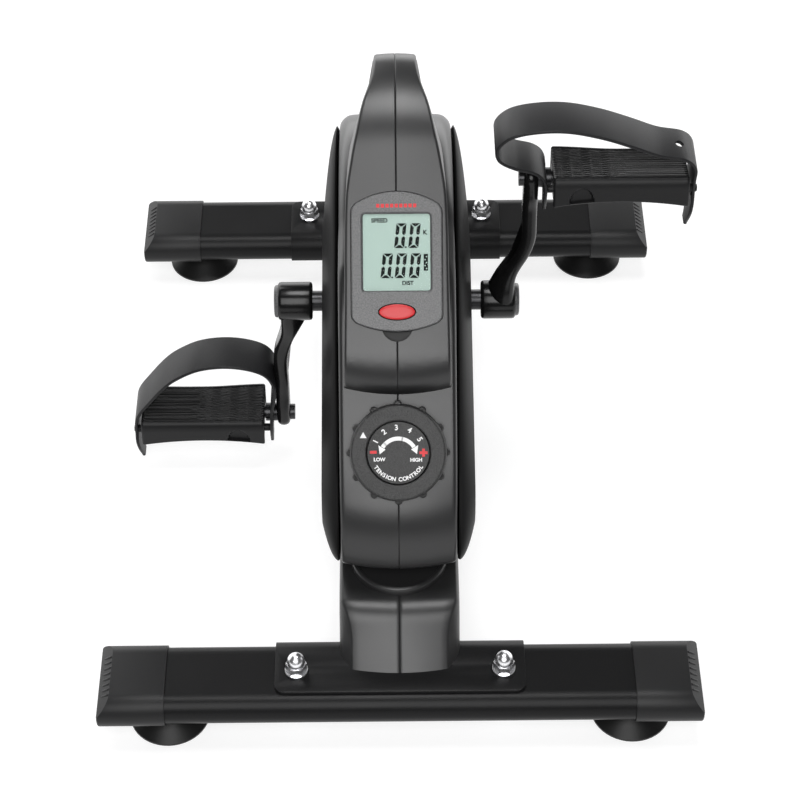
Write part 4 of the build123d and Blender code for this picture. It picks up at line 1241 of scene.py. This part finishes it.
def zero_digit(centre, half_wide, half_tall):
    """A seven-segment nought, leaning to the right."""
    w, h, s = half_wide, half_tall, SEGMENT_HALF
    gap = 0.35
    shapes = []
    for up in (1, -1):
        shape = [(-w + gap, h), (w - gap, h), (w - gap - 2 * s, h - 1.7 * s), (-w + gap + 2 * s, h - 1.7 * s)]
        shapes.append([(u, up * v) for u, v in shape][::-up])
        for side in (1, -1):
            shape = [(w, h - gap), (w - 2 * s, h - gap - 2 * s), (w - 2 * s, gap + s), (w - s, gap),
                     (w, gap + s * 0.8)]
            shapes.append([(side * u, up * v) for u, v in shape][::side * up])
    return [[(centre[0] + u + SLANT * v, centre[1] + v) for u, v in shape] for shape in shapes]


def lcd_marks():
    """Digits and small words on the display."""
    shapes = []
    for spot in ((2.6, 11.2), (12.1, 11.2), (-6.7, -9.0), (2.8, -9.0), (12.3, -9.0)):
        shapes += zero_digit((spot[0], spot[1] + WINDOW_UP), 3.4, 8.3)
    for spot in ((6.2, 3.5), (-3.1, -16.8)):
        shapes.append(bar((spot[0], spot[1] + WINDOW_UP), 0.55, 0.5))
    shapes.append(bar((19.6, WINDOW_UP - 6.8), 1.45, 5.6))
    pieces = [flat_marks("lcd_digits", shapes, ON_CONSOLE, -0.3, INK_LEVEL, INK)]
    words = (("SPEED", 2.8, -11.4, 21.4), ("K", 3.0, 19.2, 13.2), ("DIST", 2.6, 7.4, -20.7))
    for word, height, u, v in words:
        spot = (u, v + WINDOW_UP)
        pieces.append(lettering(word, height, ON_CONSOLE, spot, INK_LEVEL, INK, 0, 0.12))
    return join(pieces, "lcd_segments")


place(lcd_marks(), "console", "lcd_green")
scale_marks = [bar((19.6 + 0.5 * (-1) ** k, WINDOW_UP - 3.0 - 2.0 * k), 0.45, 0.4) for k in range(5)]
scale_piece = flat_marks("lcd_scale", scale_marks, ON_CONSOLE, INK_LEVEL, INK_LEVEL + 0.04, LCD)
place(scale_piece, "console", "lcd_green")
BADGE_UP = 37.4
badge = [bar((3.1 * (k - 4), BADGE_UP), 1.1, 1.25) for k in range(9)]
place(flat_marks("badge_stripe", badge, ON_CONSOLE, LIP, LIP + PRINT, RED), "console", "bezel_plastic")


BUTTON_UP = -33.95
BUTTON_HALF = (12.1, 5.15)
# Painted shade: a thin black oval plate, showing as a narrow ring round the button, stands for the shadow in
# the gap between button and bezel.
gap = oval(BUTTON_HALF[0] + 0.8, BUTTON_HALF[1] + 0.7, BUTTON_UP)
place(flat_marks("button_gap_shade", [gap], ON_CONSOLE, LIP - 0.2, LIP + 0.03, INK), "console", "bezel_plastic")


def red_button():
    """Domed oval button."""
    profile = ((1.0, -2.2), (1.0, 2.3), (0.975, 2.75), (0.90, 3.0), (0.7, 3.12), (0.4, 3.2), (0.12, 3.2))
    rings = []
    for grow, n in profile:
        edge = oval(BUTTON_HALF[0] * grow, BUTTON_HALF[1] * grow, BUTTON_UP)
        rings.append([ON_CONSOLE(u, v, n) for u, v in edge])
    return lofted("button_cap", rings, BUTTON, 40)


place(red_button(), "button", "button_red", "mode_button")


# ---- base details ---------------------------------------------------------------------------
softened("saddles", 0.5, STEEL, "frame", "frame_steel")
softened("end_caps", 0.8, CAP, "frame", "cap_plastic")


RIBS = 8                     # on each cap
RIB_STEP = 4.7
CAP_MIDDLE = 31.5            # from a cap's outer side to the middle of its ribs


def cap_ribs():
    """Short slanting ribs on the sloping ends of the four caps."""
    outer, far, top = box_mm("end_caps")[1]
    parts = []
    for sx in (1, -1):
        for sy in (1, -1):
            for k in range(RIBS):
                y = sy * (far - CAP_MIDDLE) + (k - (RIBS - 1) / 2) * RIB_STEP
                start = Vector((sx * (outer - 8.2), y - 1.3, top - 0.9))
                end = Vector((sx * (outer - 3.6), y + 1.3, top - 6.4))
                tool = bmesh.new()
                bmesh.ops.create_uvsphere(tool, u_segments=10, v_segments=8, radius=0.0008)
                for vert in tool.verts:
                    if vert.co.z > 0:
                        vert.co.z += (end - start).length * MM
                mesh = finished(tool, "rib", CAP)
                mesh.transform(aimed(start, end))
                parts.append(linked("rib", mesh))
    ribs = join(parts, "cap_ribs")
    shade(ribs, 60)
    return ribs


place(cap_ribs(), "frame", "cap_plastic")


# ---- floor, light and camera ----------------------------------------------------------------
def floor():
    """A wide pale floor that glows a little, like a lit table."""
    half = 4000.0
    made = material("pale_floor", (0.38, 0.38, 0.382), 0.7, grain=0.02, grain_size=4.0, speck=0.01)
    shader = made.node_tree.nodes["Principled BSDF"]
    shader.inputs["Emission Color"].default_value = (1, 1, 1, 1)
    shader.inputs["Emission Strength"].default_value = 0.72
    corners = [(-half, -half, 0), (half, -half, 0), (half, half, 0), (-half, half, 0)]
    ground = new_object("floor", corners, [(0, 1, 2, 3)], made)
    ground.location.z = -0.0002


BACKDROP = 3.0
ELSEWHERE = 0.03


def world():
    """Studio surroundings: a white backdrop behind the object, dim elsewhere and dark overhead."""
    scene_world = bpy.data.worlds.new("studio")
    bpy.context.scene.world = scene_world
    scene_world.use_nodes = True
    nodes = scene_world.node_tree.nodes
    links = scene_world.node_tree.links
    where = nodes.new("ShaderNodeTexCoord")
    parts = nodes.new("ShaderNodeSeparateXYZ")
    links.new(where.outputs["Generated"], parts.inputs["Vector"])

    def ramp(socket, low, high, first, last):
        spread = nodes.new("ShaderNodeMapRange")
        spread.interpolation_type = "SMOOTHSTEP"
        for name, value in (("From Min", low), ("From Max", high), ("To Min", first), ("To Max", last)):
            spread.inputs[name].default_value = value
        links.new(parts.outputs[socket], spread.inputs["Value"])
        return spread.outputs["Result"]

    behind = ramp("Y", -0.05, 0.65, 0.0, 1.0)
    low_down = ramp("Z", 0.30, 0.60, 1.0, 0.0)
    product = nodes.new("ShaderNodeMath")
    product.operation = "MULTIPLY"
    links.new(behind, product.inputs[0])
    links.new(low_down, product.inputs[1])
    scale = nodes.new("ShaderNodeMath")
    scale.operation = "MULTIPLY_ADD"
    scale.inputs[1].default_value = BACKDROP
    scale.inputs[2].default_value = ELSEWHERE
    links.new(product.outputs[0], scale.inputs[0])
    nodes["Background"].inputs["Color"].default_value = (1, 1, 1, 1)
    links.new(scale.outputs[0], nodes["Background"].inputs["Strength"])


def softbox(name, spot, target, size, power):
    """A square area light aimed at a point."""
    data = bpy.data.lights.new(name, "AREA")
    data.size = size
    data.energy = power
    lamp = linked(name, data)
    lamp.location = spot
    lamp.rotation_mode = "QUATERNION"
    lamp.rotation_quaternion = (Vector(target) - Vector(spot)).to_track_quat("-Z", "Y")


CAMERA_TARGET = Vector((0.0018, -0.0478, 0.120))
CAMERA_DISTANCE = 1.676
CAMERA_ELEVATION = 45.73
CAMERA_YAW = 0.24
CAMERA_ROLL = -0.33
CAMERA_LENS = 103.3


def camera():
    """The camera looks down at about 45 degrees from the user's side."""
    rise = radians(CAMERA_ELEVATION)
    yaw = radians(CAMERA_YAW)
    roll = radians(CAMERA_ROLL)
    ahead = Vector((sin(yaw) * cos(rise), cos(yaw) * cos(rise), -sin(rise)))
    right = ahead.cross(Vector((0, 0, 1))).normalized()
    up = right.cross(ahead)
    across = right * cos(roll) + up * sin(roll)
    upright = up * cos(roll) - right * sin(roll)
    data = bpy.data.cameras.new("camera")
    data.lens = CAMERA_LENS
    data.sensor_width = 36.0
    view = linked("camera", data)
    turn = Matrix((across, upright, -ahead)).transposed().to_4x4()
    view.matrix_world = Matrix.Translation(CAMERA_TARGET - ahead * CAMERA_DISTANCE) @ turn
    bpy.context.scene.camera = view


floor()
world()
softbox("front_softbox", (-0.12, -1.80, 1.75), (0, -0.05, 0.15), 1.5, 40)
softbox("top_softbox", (0.0, 0.1, 2.6), (0, 0, 0), 0.9, 30)
softbox("back_softbox", (-1.1, 1.9, 2.2), (0, 0.05, 0.1), 0.9, 12)
camera()
bpy.context.scene.view_settings.view_transform = "Standard"
